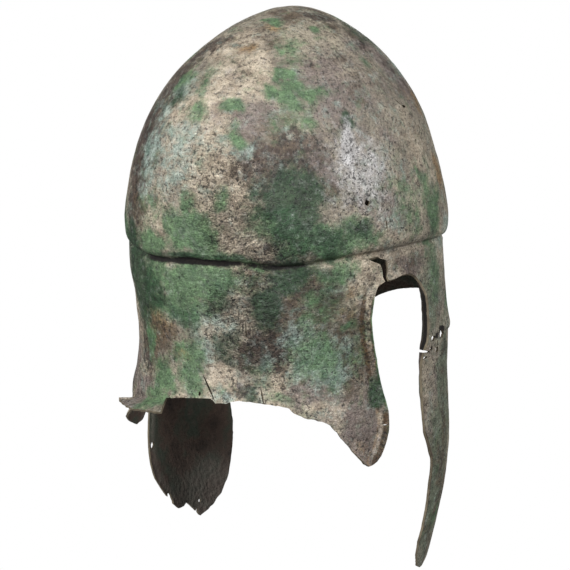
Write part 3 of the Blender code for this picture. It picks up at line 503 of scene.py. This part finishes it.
def edge_distance(points, outline, batch=4000):
    """Shortest distance of points to the straight pieces of an outline, in any dimension."""
    a, run = outline[:-1], np.diff(outline, axis=0)
    square = np.maximum((run * run).sum(-1), 1e-9)
    flat = points.reshape(-1, points.shape[-1])
    found = np.empty(len(flat))
    for start in range(0, len(flat), batch):
        gap = flat[start:start + batch, None, :] - a
        u = np.clip((gap * run).sum(-1) / square, 0.0, 1.0)
        found[start:start + batch] = np.linalg.norm(gap - u[..., None] * run, axis=-1).min(-1)
    return found.reshape(points.shape[:-1])


def rim_lift(distance, z, table):
    """Rise of the out-turned rim: nothing, a shallow groove, then out to the edge."""
    top, width, rise = np.array(table, float).T
    w, r = np.interp(-z, -top, width), np.interp(-z, -top, rise)
    u = np.clip(1 - distance / w, 0.0, 1.0)
    return r * u ** RIM_CURL - HOLLOW_DEPTH * r * bell(distance, HOLLOW_AT * w, HOLLOW_WIDTH * w)


def run_of(path):
    """Distance along a path at each of its points."""
    return np.concatenate(([0.0], np.cumsum(np.linalg.norm(np.diff(path, axis=0), axis=1))))


def as_path(table, smooth, rough, seed):
    """Outline as (arc, height) pairs: a smooth or straight run through the table's points, with
    small bites of noise square to it that fade to nothing at both ends."""
    a, z = np.array(table, float).T
    path = np.stack([to_arc(a), z], -1)
    run = run_of(path)
    steps = [np.linspace(p, q, max(3, int((q - p) / PATH_STEP))) for p, q in zip(run, run[1:])]
    t = np.unique(np.concatenate(steps))
    through = curve if smooth else np.interp
    path = np.stack([through(t, run, path[:, 0]), through(t, run, path[:, 1])], -1)
    along = np.gradient(path, axis=0)
    along /= np.linalg.norm(along, axis=1)[:, None]
    spot = np.stack([t, np.zeros_like(t), np.full_like(t, BITE_SEEDS_APART * seed)], -1)
    fade = np.clip(np.minimum(t, t[-1] - t) / BITE_FADE, 0.0, 1.0)
    return path + (rough * waves(spot, BITES) * fade)[:, None] * along[:, ::-1] * (-1, 1)


def spread(path, shares):
    """Points along a path at the given shares of its length."""
    run = run_of(path)
    at = np.asarray(shares) * run[-1]
    return np.stack([np.interp(at, run, path[:, 0]), np.interp(at, run, path[:, 1])], -1)


def even(path, rows):
    """Points along a path, one to each of its even rows."""
    return spread(path, np.linspace(0, 1, rows + 1))


def belt_line(arcs):
    """Top row of the sheet below the groove: a fixed drop under it."""
    return np.stack([arcs, groove_z(to_azimuth(arcs)) - BELT_DROP], -1)


def seam(azimuth, z):
    """Straight seam from the belt line down to a height, at one azimuth."""
    return np.concatenate([belt_line(to_arc(np.array([azimuth]))), [[to_arc(azimuth), z]]])


def side_of(upper, lower, upper_rows, rows):
    """Side of a patch: a seam or a crack above, then a free edge, each with even rows."""
    share = np.linspace(0, 1, rows + 1)
    turn = share[upper_rows]
    first = spread(upper, share[:upper_rows + 1] / turn)
    second = spread(lower, (share[upper_rows:] - turn) / (1 - turn))
    return np.concatenate([first, second[1:]])


def columns(width, middle, rim_low, rim_high):
    """Shares across a patch: close together beside a rimmed edge, even between."""
    steps = np.array(RIM_STEPS) / width
    low = steps if rim_low else steps[:1]
    high = 1 - steps[::-1] if rim_high else 1 - steps[:1]
    return np.concatenate([low, np.linspace(low[-1], high[0], middle + 1)[1:-1], high])


def snapped(path, shares, azimuths):
    """Shares along a path, the nearest ones moved to its sharp corners and to some azimuths."""
    run = np.diff(path, axis=0)
    length = np.linalg.norm(run, axis=1)
    reach = np.concatenate(([0.0], np.cumsum(length))) / length.sum()
    way = run / length[:, None]
    sharp = (way[1:] * way[:-1]).sum(1) < SHARP
    marks = list(reach[1:-1][sharp]) + [np.interp(to_arc(a), path[:, 0], reach) for a in azimuths]
    found = shares.copy()
    for mark in marks:
        found[1 + np.abs(found[1:-1] - mark).argmin()] = mark
    return np.sort(found)


def patch(low, high, bottom, across, azimuths=()):
    """Coons patch in (arc, height): the mean of two sides and of two ends, less the corners. A row
    lies between the ends by how far down the sides it starts."""
    fall = low[:, 1] + high[:, 1]
    s, t = across[None, :, None], ((fall - fall[0]) / (fall[-1] - fall[0]))[:, None, None]
    top = belt_line(low[0, 0] + (high[0, 0] - low[0, 0]) * across)
    foot = spread(bottom, snapped(bottom, across, azimuths))
    between = (1 - s) * low[:, None, :] + s * high[:, None, :]
    down = (1 - t) * top[None] + t * foot[None]
    corners = ((1 - t) * ((1 - s) * top[0] + s * top[-1])
               + t * ((1 - s) * foot[0] + s * foot[-1]))
    return between + down - corners


def flange(root):
    """Flange out from the hem: each row steps out, a little down and along to the tip's azimuth."""
    azimuth = to_azimuth(root[:, 0])
    at, tip, out, down = np.array(FLANGE, float).T
    inside = (azimuth > FLANGE_FROM - ROOT_SLACK) & (azimuth < FLANGE_TO + ROOT_SLACK)
    azimuth, level = azimuth[inside], root[inside, 1]
    rows = []
    for share in np.linspace(0, 1, FLANGE_ROWS + 1):
        along = azimuth + share * (np.interp(azimuth, at, tip) - azimuth)
        drop = np.interp(azimuth, at, down) * share ** FLANGE_DROOP
        lift = np.interp(azimuth, at, out) * share
        torn = sum(size * share * np.sin(azimuth * rate + start)
                   for size, rate, start in FLANGE_WAVES)
        rows.append(side_point(along, level, lift + torn) - drop[:, None] * (0.0, 0.0, 1.0))
    return np.stack(rows)


def sheet(grid, edges, table):
    """Grid of the flat pattern to points of the helmet, with its out-turned rim."""
    z = grid[..., 1]
    lift = np.zeros_like(z)
    for edge in edges:
        lift = np.maximum(lift, rim_lift(edge_distance(grid, edge), z, table))
    return side_point(to_azimuth(grid[..., 0]), z, lift)


def lower_parts():
    """The patches below the groove, from the left ear round the back to the left ear again."""
    path = {name: as_path(*row) for name, row in OUTLINES.items()}
    path["front_right"] = path["front_right"] * (-1, 1)
    crack_ends = belt_line(to_arc(np.array([CRACK_TOP, CRACK_RIGHT])))
    for name, end in zip(("crack_low", "crack_high"), crack_ends):
        path[name] = np.concatenate([[end], path[name]])
    line = {name: seam(*place) for name, place in SEAMS.items()}
    n, b = LINTEL_ROWS, BROW_ROWS
    neck = patch(side_of(line["neck_left"], path["neck_left"], n, NECK_ROWS),
                 side_of(path["crack_low"], path["neck_right"], n, NECK_ROWS),
                 path["hem"], columns(NECK_WIDTH, NECK_MID, True, True), (FLANGE_FROM, FLANGE_TO))
    across = np.linspace(0, 1, LINTEL_MID + 1)
    right_lintel = patch(even(path["crack_high"], n), even(line["rear_right"], n),
                         path["arch_right"], across)
    right_cheek = patch(side_of(line["rear_right"], path["rear_right"], n, CHEEK_ROWS),
                        side_of(line["front_right"], path["front_right"], b, CHEEK_ROWS),
                        path["tip_right"], columns(CHEEK_WIDTH, CHEEK_MID, True, False))
    brow = patch(even(line["front_right"], b), even(line["front_left"], b), path["brow"],
                 np.linspace(0, 1, BROW_MID + 1))
    left_cheek = patch(side_of(line["front_left"], path["front_left"], b, CHEEK_ROWS),
                       side_of(line["rear_left"], path["rear_left"], n, CHEEK_ROWS),
                       path["tip_left"], columns(CHEEK_WIDTH, CHEEK_MID, False, True))
    left_lintel = patch(even(line["rear_left"], n), even(line["arch_left"], n),
                        path["arch_left"], across)
    hem, (left_end, right_end) = path["hem"], to_arc(HEM_CORNERS)
    neck_edges = (path["neck_left"], path["neck_right"], hem[hem[:, 0] < left_end],
                  hem[hem[:, 0] > right_end])
    right, left = ((path["rear_" + side], path["arch_" + side]) for side in ("right", "left"))
    parts = [sheet(neck, neck_edges, RIM_NECK)]
    for grid, edges in ((right_lintel, right[1:]), (right_cheek, right), (brow, ()),
                        (left_cheek, left), (left_lintel, left[1:])):
        parts.append(sheet(grid, edges, RIM_CHEEK))
    return parts, flange(neck[-1])


def surface_at(azimuth, z, samples=600):
    """Point of the outer surface at one azimuth and height: bowl, foot, or sheet below it."""
    azimuth = float(azimuth)
    up = z - float(groove_z(azimuth))
    if up < FOOT[-1][0]:
        return side_point(np.array(azimuth), np.array(float(z)))
    if up < WIDEST_Z:
        height, offset = np.array(FOOT).T
        return foot_point(np.array(azimuth), up, np.interp(-up, -height, offset))
    points = bowl_point(np.full(samples, azimuth), np.linspace(0.0, 89.5, samples))
    return points[np.abs(points[:, 2] - z).argmin()]


def local_axes(azimuth, z):
    """Centre and unit vectors along, up and out of the surface, from nearby points of it."""
    along = surface_at(azimuth + NEAR_TURN, z) - surface_at(azimuth - NEAR_TURN, z)
    rise = surface_at(azimuth, z + NEAR_RISE) - surface_at(azimuth, z - NEAR_RISE)
    along /= np.linalg.norm(along)
    out = np.cross(along, rise)
    out /= np.linalg.norm(out)
    return surface_at(azimuth, z), along, np.cross(out, along), out


def blot(points, rows):
    """Strength of a stain: each row is a flat-topped oval lying on the surface; the largest wins."""
    found = np.zeros(len(points))
    for azimuth, z, half_width, half_height, strength in rows:
        centre, along, up, out = local_axes(azimuth, z)
        gap = points - centre
        u, v, w = gap @ along / half_width, gap @ up / half_height, gap @ out / BLOT_DEPTH
        value = strength * np.exp(-BLOT_FALL * (u * u + v * v + w * w) ** BLOT_POWER)
        found = np.where(np.abs(value) > np.abs(found), value, found)
    return found


def scattered(seed, count, low, high, size):
    """Stain rows for the sides out of the photograph: seeded places, sizes and strengths."""
    draw = np.random.default_rng(seed)
    rows = []
    for _ in range(count):
        azimuth, z = draw.uniform(*UNSEEN_AZIMUTHS), draw.uniform(low, high)
        rows.append((azimuth, z, size * draw.uniform(*UNSEEN_WIDTHS),
                     size * draw.uniform(*UNSEEN_HEIGHTS), draw.uniform(*UNSEEN_STRENGTHS)))
    return rows


def face_rows(shape, start, closed):
    """Quads between neighbouring rows of vertices, seen from outside."""
    count, width = shape
    i = np.arange(count - 1)[:, None] * width
    j = np.arange(width if closed else width - 1)[None, :]
    k = (j + 1) % width
    quads = np.stack([i + j, i + width + j, i + width + k, i + k], -1)
    return quads.reshape(-1, 4) + start


def make_sheet():
    """Open outer surface of the whole helmet as points in millimetres and faces."""
    parts, nape = lower_parts()
    bare = belt_line(np.linspace(to_arc(CRACK_TOP), to_arc(CRACK_RIGHT), CRACK_MID + 1)[:-1])
    bare = side_point(to_azimuth(bare[:, 0]), bare[:, 1])
    tops = [part[0, :-1] for part in parts]
    ring = np.concatenate(tops[:1] + [bare] + tops[1:])
    inset = SIDE[0][1]
    reach = np.where(ring[:, 1] < 0, FRONT_REACH, BACK_REACH) + inset
    azimuth = np.degrees(np.arctan2(ring[:, 0] / (HALF_WIDTH + inset), -ring[:, 1] / reach))
    lat = np.linspace(0.0, 90.0, SAMPLES)
    climb = run_of(bowl_point(np.full(SAMPLES, 180.0), lat))
    shares = np.linspace(0.0, 1.0, BOWL_ROWS + 1)[:-1]
    latitudes = np.interp(shares * climb[-1], climb, lat)
    rows = [bowl_point(azimuth, np.full_like(azimuth, v)) for v in latitudes[::-1]]
    rows += [foot_point(azimuth, up, offset) for up, offset in FOOT] + [ring]
    points, quads, start = [], [], 0
    for grid, closed in [(np.stack(rows), True)] + [(part, False) for part in parts + [nape]]:
        points.append(grid.reshape(-1, 3))
        quads.append(face_rows(grid.shape[:2], start, closed))
        start += len(points[-1])
    points.append([[0.0, -CROWN_FWD, CROWN_Z]])
    crown = [(i, (i + 1) % len(ring), start) for i in range(len(ring))]
    return np.concatenate(points), np.concatenate(quads).tolist() + crown


def relief(points):
    """Uneven surface: slow hammered waves, the lumps of the crust and a few named dents."""
    lumps = BARE_LUMPS + CRUST_LUMPS * blot(points, CRUST)
    return waves(points, HAMMERED) + lumps * lattice(points, LUMP_SIZE, LUMP_SEED) - blot(points, DENTS)


def add_cutter(mesh, seed, azimuth, z, half_width, half_height, turn, depth=THROUGH):
    """Closed prism through the sheet, square to it: an oval with a ragged, seeded radius."""
    centre, along, up, out = local_axes(azimuth, z)
    t = np.radians(turn)
    side, rise = along * np.cos(t) + up * np.sin(t), up * np.cos(t) - along * np.sin(t)
    radius = np.random.default_rng(seed).uniform(*CUTTER_RADII, CUTTER_SIDES)
    a = np.radians(np.arange(CUTTER_SIDES) * (360.0 / CUTTER_SIDES))
    ring = (np.outer(half_width * np.cos(a) * radius, side)
            + np.outer(half_height * np.sin(a) * radius, rise))
    low, high = [[mesh.verts.new((centre + reach * out + p + SHIFT) * MM) for p in ring]
                 for reach in (-depth, THROUGH)]
    faces = [mesh.faces.new(low[::-1]), mesh.faces.new(high)]
    for i in range(CUTTER_SIDES):
        k = (i + 1) % CUTTER_SIDES
        faces.append(mesh.faces.new((low[i], low[k], high[k], high[i])))
    for face in faces:
        face.material_index = EDGE_MATERIAL


def tone(hex_colour):
    """sRGB hex colour as linear RGBA."""
    part = np.array([int(hex_colour[i:i + 2], 16) for i in (1, 3, 5)]) / 255
    linear = np.where(part <= 0.04045, part / 12.92, ((part + 0.055) / 1.055) ** 2.4)
    return (*linear.tolist(), 1.0)


def add(tree, kind, inputs=(), **settings):
    """Add one node; inputs are (socket, value or output socket) pairs."""
    made = tree.nodes.new(kind)
    for name, value in settings.items():
        setattr(made, name, value)
    for name, value in inputs:
        if isinstance(value, bpy.types.NodeSocket):
            tree.links.new(value, made.inputs[name])
        else:
            made.inputs[name].default_value = value
    return made


def calc(tree, operation, *values, clamp=False):
    """Result of a sum on numbers or sockets."""
    made = add(tree, "ShaderNodeMath", enumerate(values), operation=operation, use_clamp=clamp)
    return made.outputs[0]


def remap(tree, value, low, high, to_low=0.0, to_high=1.0, shape="LINEAR"):
    """A value between low and high moved to a new range, and held at its ends."""
    limits = zip(("From Min", "From Max", "To Min", "To Max"), (low, high, to_low, to_high))
    made = add(tree, "ShaderNodeMapRange", (("Value", value), *limits), interpolation_type=shape)
    return made.outputs["Result"]


def noise(tree, place, size, detail, rough=0.5, level=None):
    """Noise of a size in millimetres, in four dimensions where it has a level in the fourth."""
    inputs = [("Vector", place), ("Scale", PER_METRE / size), ("Detail", detail),
              ("Roughness", rough)]
    settings = {}
    if level is not None:
        inputs.append(("W", level))
        settings["noise_dimensions"] = "4D"
    return add(tree, "ShaderNodeTexNoise", inputs, **settings).outputs["Fac"]


def blend(tree, factor, first, second):
    """Colour between two others."""
    made = add(tree, "ShaderNodeMix", (("Factor", factor), ("A", first), ("B", second)),
               data_type="RGBA")
    return made.outputs["Result"]


def scaled(tree, colour, factor):
    """Colour times a factor."""
    return add(tree, "ShaderNodeVectorMath", ((0, colour), (3, factor)),
               operation="SCALE").outputs[0]


def field_of(tree, name):
    """Strength of a stain, from its vertex attribute."""
    return add(tree, "ShaderNodeAttribute", attribute_name=name).outputs["Fac"]


def level_of(tree, place):
    """Height of a place in the part, in metres."""
    return add(tree, "ShaderNodeSeparateXYZ", (("Vector", place),)).outputs["Z"]


def new_material(name):
    """New material with its node tree, its shader and the place on the part."""
    made = bpy.data.materials.new(name)
    made.use_nodes = True
    tree = made.node_tree
    place = add(tree, "ShaderNodeTexCoord").outputs["Object"]
    return made, tree, tree.nodes["Principled BSDF"], place


def add_bump(tree, shader, strength, distance, height):
    """Bump the shader's normal by a height."""
    bump = add(tree, "ShaderNodeBump", (("Strength", strength), ("Distance", distance),
                                        ("Height", height)))
    tree.links.new(bump.outputs["Normal"], shader.inputs["Normal"])


def outer_noises(tree, place):
    """Noises of the outer face by name. The pits take their shares of other strengths, and the
    veins become thin lines with gaps."""
    flat = add(tree, "ShaderNodeVectorMath", ((0, place), (1, BRUSHED)), operation="MULTIPLY")
    value = {name: noise(tree, flat.outputs[0] if name == "brush" else place, size, detail, rough,
                         size) for name, size, detail, rough in NOISES}
    for name, share in PIT_SHARES.items():
        part = value[name] if name in value else field_of(tree, name)
        value["pit"] = calc(tree, "MULTIPLY_ADD", part, share, value["pit"])
    line = calc(tree, "ABSOLUTE", calc(tree, "SUBTRACT", value["vein"], 0.5))
    value["vein"] = calc(tree, "ADD", line, remap(tree, value["mottle"], *VEIN_GAPS))
    return value


def stained(tree, place, value):
    """Colour of the ground under all its stains, the painted highlight and the painted shade, each with an
    edge that noise breaks up.
    """
    low, high = 0.5 - HALF_RAMP, 0.5 + HALF_RAMP
    base = blend(tree, remap(tree, value["cloud"], low, high), *map(tone, GROUND))
    shade = remap(tree, value["shade"], low, high)
    for order, (name, dark, light, size, broken, floor, soft, cover) in enumerate(STAINS):
        grain = noise(tree, place, size, STAIN_DETAIL, STAIN_ROUGHNESS, SEEDS_APART * order)
        edge = calc(tree, "MULTIPLY_ADD", grain, broken, floor - 0.5 * broken)
        total = calc(tree, "ADD", field_of(tree, name), edge)
        mask = remap(tree, total, 0.5 - soft, 0.5 + soft, 0.0, cover, "SMOOTHSTEP")
        base = blend(tree, mask, base, blend(tree, shade, tone(dark), tone(light)))
    return base


def spotted(tree, place, value, crust):
    """Factor of the colour from all the spots, with less contrast near the crown and more in the
    crust, about the same mean."""
    factor = None
    for name, low, high, at_low, at_high in SPOTS:
        part = remap(tree, value[name], low, high, at_low, at_high)
        factor = part if factor is None else calc(tree, "MULTIPLY", factor, part)
    plain = remap(tree, level_of(tree, place), *SIDE_TO_CROWN)
    contrast = calc(tree, "MULTIPLY_ADD", crust, CRUST_CONTRAST, plain)
    about_one = calc(tree, "MULTIPLY", factor, 1.0 / MEAN_SPOT)
    return calc(tree, "MULTIPLY", calc(tree, "POWER", about_one, contrast), MEAN_SPOT)


def patina_of_sheet():
    """Outer face: bronze under copper carbonate and soil, dull and mineral, so not metallic to the
    eye: beige and mauve grounds, green sheets, brown and pale specks, a soft gloss in places with
    a painted highlight over it, and painted shade in the groove, beside the large hole and along
    the cheekpieces' rims."""
    made, tree, shader, place = new_material("bronze_under_carbonate_patina")
    value, crust = outer_noises(tree, place), field_of(tree, "crust")
    colour = scaled(tree, stained(tree, place, value), spotted(tree, place, value, crust))
    tree.links.new(colour, shader.inputs["Base Color"])
    polish = calc(tree, "MULTIPLY_ADD", field_of(tree, "gloss_and_painted_highlight"), SHEEN_DULLNESS,
                  remap(tree, value["mottle"], *DULLNESS))
    dull = calc(tree, "MULTIPLY_ADD", field_of(tree, "painted_shade"), PAINTED_SHADE_DULLNESS, polish, clamp=True)
    tree.links.new(dull, shader.inputs["Roughness"])
    height = value["mottle"]
    for name, share in HEIGHTS:
        height = calc(tree, "MULTIPLY_ADD", value[name], share, height)
    add_bump(tree, shader, remap(tree, crust, 0.0, 1.0, *BUMP_STRENGTHS), BUMP_DISTANCE, height)
    return made


def patina_inside():
    """Inner face: cuprite and soil, dark brown to greenish black and dull, its darkness partly painted
    shade, with more painted shade where the outer face has it and towards the cheekpieces' tips.
    """
    made, tree, shader, place = new_material("cuprite_and_painted_shade_inside")
    cloud = noise(tree, place, size=22.0, detail=5.0)
    ramp = add(tree, "ShaderNodeValToRGB", (("Fac", cloud),))
    while len(ramp.color_ramp.elements) < len(INSIDE):
        ramp.color_ramp.elements.new(0.5)
    for element, (at, colour) in zip(ramp.color_ramp.elements, INSIDE):
        element.position, element.color = at, tone(colour)
    pale = calc(tree, "MULTIPLY", field_of(tree, "mauve"), cloud)
    colour = blend(tree, pale, ramp.outputs["Color"], tone(INSIDE_PALE))
    # painted shade: near black where the outer face's painted-shade field lies
    colour = blend(tree, field_of(tree, "painted_shade"), colour, tone(INSIDE_PAINTED_SHADE))
    # painted shade: darker towards the tips of the cheekpieces
    colour = scaled(tree, colour, remap(tree, level_of(tree, place), *TIPS_PAINTED_SHADE))
    tree.links.new(colour, shader.inputs["Base Color"])
    shader.inputs["Roughness"].default_value = INSIDE_ROUGHNESS
    lumps = noise(tree, place, size=3.0, detail=4.0)
    add_bump(tree, shader, strength=0.5, distance=0.006, height=lumps)
    return made


def broken_edge():
    """Cut and broken edges of the sheet: thin brown crust with pale rubbed spots, dull."""
    made, tree, shader, place = new_material("broken_bronze_edge")
    colour = blend(tree, noise(tree, place, size=5.0, detail=3.0), *map(tone, EDGE_COLOURS))
    tree.links.new(colour, shader.inputs["Base Color"])
    shader.inputs["Roughness"].default_value = EDGE_ROUGHNESS
    return made


def bands(points):
    """Stripes along the ear openings as strengths by stain name, from the distance to the edge:
    a green edge, a cream stripe, a brown line in the hollow of the rim; brown and a near-black
    stripe of painted shade beside the out-turned rim on the cheekpieces."""
    found = {}
    below = ease(-points[:, 2], *STRIPES_BEGIN)
    for outline, rim, kind in STRIPED:
        table, smooth, _, seed = OUTLINES[outline]
        path = as_path(table, smooth, STRIPE_BITES, seed)
        lift = 0.0 if kind == "hem" else rim_lift(0.0, path[:, 1], rim)
        line = side_point(to_azimuth(path[:, 0]), path[:, 1], lift)
        d = edge_distance(points, line)
        low = ease(-points[:, 2], *LOWER_FROM[kind])
        for name, at, wide, strength, share in STRIPES[kind]:
            part = {"all": 1.0, "upper": 1 - low, "lower": low}[share]
            field = strength * below * part * bell(d, at, wide)
            found[name] = np.maximum(found.get(name, 0.0), field)
    return found


def lines(points):
    """Stains that follow the groove, as (name, strength) pairs: painted shadow in it, dark green on the
    foot above it that is partly painted shade, earth below it. Painted shade beside the large hole is with
    them."""
    azimuth = np.degrees(np.arctan2(points[:, 0] / HALF_WIDTH, -points[:, 1] / BACK_REACH))
    below = points[:, 2] - groove_z(azimuth)
    round_back = np.where(azimuth > GROOVE_PAINTED_SHADOW[-1][0], azimuth - 360.0, azimuth)
    # Painted shadow in the groove by azimuth, and painted shade beside the large hole
    groove_shadow = np.interp(round_back, *np.array(GROOVE_PAINTED_SHADOW).T) + waves(points, GROOVE_SHADOW_WAVES)
    found = [("painted_shade", blot(points, HOLE_PAINTED_SHADE))]
    for name, share, (at, wide, strength) in (("painted_shade", groove_shadow, GROOVE_SHADOW_LINE),
                                              ("dark_green", groove_shadow, GREEN_AND_SHADE_LINE),
                                              ("earth", 1.0, EARTH_LINE)):
        found.append((name, strength * share * bell(below, at, wide)))
    return found


def write_stains(mesh, points):
    """Vertex attributes that the patina reads: one strength for each stain."""
    drift = [waves(points, [(far, size, seed + axis) for far, size, seed in DRIFT])
             for axis in range(3)]
    bent = points + np.stack(drift, -1)
    fields = {name: blot(bent, rows) for name, rows in MARKS.items()}
    more = [(name, blot(bent, scattered(*row))) for name, *row in UNSEEN]
    for name, field in more + list(bands(points).items()) + lines(points):
        fields[name] = np.maximum(fields.get(name, 0.0), field)
    for name, field in fields.items():
        mesh.attributes.new(name, "FLOAT", "POINT").data.foreach_set("value", field)


def outer_mesh():
    """Mesh of the outer surface in metres: welded, raised by its relief, with its stains."""
    points, faces = make_sheet()
    mesh = bpy.data.meshes.new("helmet")
    mesh.from_pydata(((points + SHIFT) * MM).tolist(), [], faces)
    work = bmesh.new()
    work.from_mesh(mesh)
    bmesh.ops.remove_doubles(work, verts=work.verts, dist=WELD)
    bmesh.ops.recalc_face_normals(work, faces=work.faces)
    work.to_mesh(mesh)
    work.free()
    count = len(mesh.vertices)
    flat, normal = np.empty(count * 3), np.empty(count * 3)
    mesh.vertices.foreach_get("co", flat)
    mesh.vertex_normals.foreach_get("vector", normal)
    points = flat.reshape(-1, 3) * PER_METRE - SHIFT
    raised = points + relief(points)[:, None] * normal.reshape(-1, 3)
    mesh.vertices.foreach_set("co", ((raised + SHIFT) * MM).ravel())
    write_stains(mesh, points)
    mesh.attributes.new("known", "FLOAT", "POINT").data.foreach_set("value", np.ones(count))
    for material in (patina_of_sheet(), patina_inside(), broken_edge()):
        mesh.materials.append(material)
    return mesh


def linked(name, data):
    """New object of that name, linked to the scene."""
    made = bpy.data.objects.new(name, data)
    bpy.context.collection.objects.link(made)
    return made


def cutter_object(rows, seed, materials):
    """Object with one cutter for each row of holes or cracks."""
    work = bmesh.new()
    for i, row in enumerate(rows):
        add_cutter(work, seed + i, *row)
    bmesh.ops.recalc_face_normals(work, faces=work.faces)
    tool = bpy.data.meshes.new("cutter")
    work.to_mesh(tool)
    work.free()
    for material in materials:
        tool.materials.append(material)
    return linked("cutter", tool)


def make_helmet():
    """Sheet with its relief, given a wall inward, then pierced by the ragged cutters."""
    helmet = linked("helmet", outer_mesh())
    wall = helmet.modifiers.new("wall", "SOLIDIFY")
    wall.thickness, wall.offset, wall.use_even_offset = WALL * MM, -1.0, False
    wall.material_offset, wall.material_offset_rim = 1, EDGE_MATERIAL
    cutters = [cutter_object(rows, seed, helmet.data.materials)
               for rows, seed in ((HOLES, HOLE_SEED), (CRACKS, CRACK_SEED))]
    for cutter in cutters:
        cut = helmet.modifiers.new("holes", "BOOLEAN")
        cut.object, cut.operation, cut.solver = cutter, "DIFFERENCE", "EXACT"
    bpy.context.view_layer.update()
    solid = helmet.evaluated_get(bpy.context.evaluated_depsgraph_get())
    made = bpy.data.meshes.new_from_object(solid)
    helmet.modifiers.clear()
    helmet.data = made
    for cutter in cutters:
        bpy.data.objects.remove(cutter, do_unlink=True)
    made.polygons.foreach_set("use_smooth", np.ones(len(made.polygons), bool))
    made.set_sharp_from_angle(angle=np.radians(SMOOTH_ANGLE))
    mend_new_vertices(made)
    return helmet


def mend_new_vertices(mesh):
    """Vertices that the cutters made take their stains from the nearest old vertex."""
    known = np.empty(len(mesh.vertices))
    mesh.attributes["known"].data.foreach_get("value", known)
    is_old = known > SURELY_KNOWN
    old, new = np.nonzero(is_old)[0], np.nonzero(~is_old)[0]
    tree = kdtree.KDTree(len(old))
    for i in old:
        tree.insert(mesh.vertices[i].co, int(i))
    tree.balance()
    nearest = [tree.find(mesh.vertices[i].co)[1] for i in new]
    for name in [row[0] for row in STAINS] + ["crust"]:
        field = np.empty(len(mesh.vertices))
        mesh.attributes[name].data.foreach_get("value", field)
        field[new] = field[nearest]
        mesh.attributes[name].data.foreach_set("value", field)
    mesh.attributes.remove(mesh.attributes["known"])


def camera_sees(tree, unseen, seen, output):
    """Output of one shader for the camera's own rays and of another for all others."""
    camera_ray = add(tree, "ShaderNodeLightPath").outputs["Is Camera Ray"]
    both = add(tree, "ShaderNodeMixShader", ((0, camera_ray), (1, unseen.outputs[0]),
                                             (2, seen.outputs[0])))
    add(tree, output, (("Surface", both.outputs[0]),))


def make_floor():
    """Wide floor that the camera sees as plain white."""
    mesh = bpy.data.meshes.new("floor")
    corners = [(x * FLOOR_HALF, y * FLOOR_HALF, FLOOR_Z)
               for x, y in ((-1, -1), (1, -1), (1, 1), (-1, 1))]
    mesh.from_pydata(corners, [], [(0, 1, 2, 3)])
    paper = bpy.data.materials.new("white_paper")
    paper.use_nodes = True
    tree = paper.node_tree
    tree.nodes.clear()
    matt = add(tree, "ShaderNodeBsdfDiffuse", (("Color", tone(PAPER)),))
    glow = add(tree, "ShaderNodeEmission", (("Color", WHITE), ("Strength", 1.0)))
    camera_sees(tree, matt, glow, "ShaderNodeOutputMaterial")
    mesh.materials.append(paper)
    ground = linked("floor", mesh)


def make_camera():
    """Camera at the photograph's place."""
    camera = bpy.data.cameras.new("camera")
    camera.lens, camera.sensor_width = CAMERA_LENS, SENSOR_WIDTH
    camera.clip_start, camera.clip_end = 0.01, 100.0
    seen = linked("camera", camera)
    turn = Matrix(np.array(CAMERA_AXES).T.tolist()).to_4x4()
    seen.matrix_world = Matrix.Translation(CAMERA_AT) @ turn
    bpy.context.scene.camera = seen


def make_lights():
    """Soft boxes that face the helmet, and a pale sky that the camera sees as white."""
    for name, azimuth, elevation, size, power in LIGHTS:
        a, e = np.radians((azimuth, elevation))
        way = Vector((np.sin(a) * np.cos(e), -np.cos(a) * np.cos(e), np.sin(e)))
        lamp = bpy.data.lights.new(name, "AREA")
        lamp.size, lamp.energy = size, power
        linked(name, lamp).matrix_world = (Matrix.Translation(Vector(LIGHTS_AIM) + LIGHTS_AWAY * way)
                                           @ way.to_track_quat("Z", "Y").to_matrix().to_4x4())
    world = bpy.data.worlds.new("pale_room")
    bpy.context.scene.world = world
    world.use_nodes = True
    tree = world.node_tree
    tree.nodes.clear()
    dim, white = (add(tree, "ShaderNodeBackground", (("Color", WHITE), ("Strength", strength)))
                  for strength in (SKY, 1.0))
    camera_sees(tree, dim, white, "ShaderNodeOutputWorld")
    bpy.context.scene.view_settings.view_transform = "Standard"


helmet = make_helmet()
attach(helmet, "root")
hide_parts("helmet_shell")
make_floor()
make_camera()
make_lights()
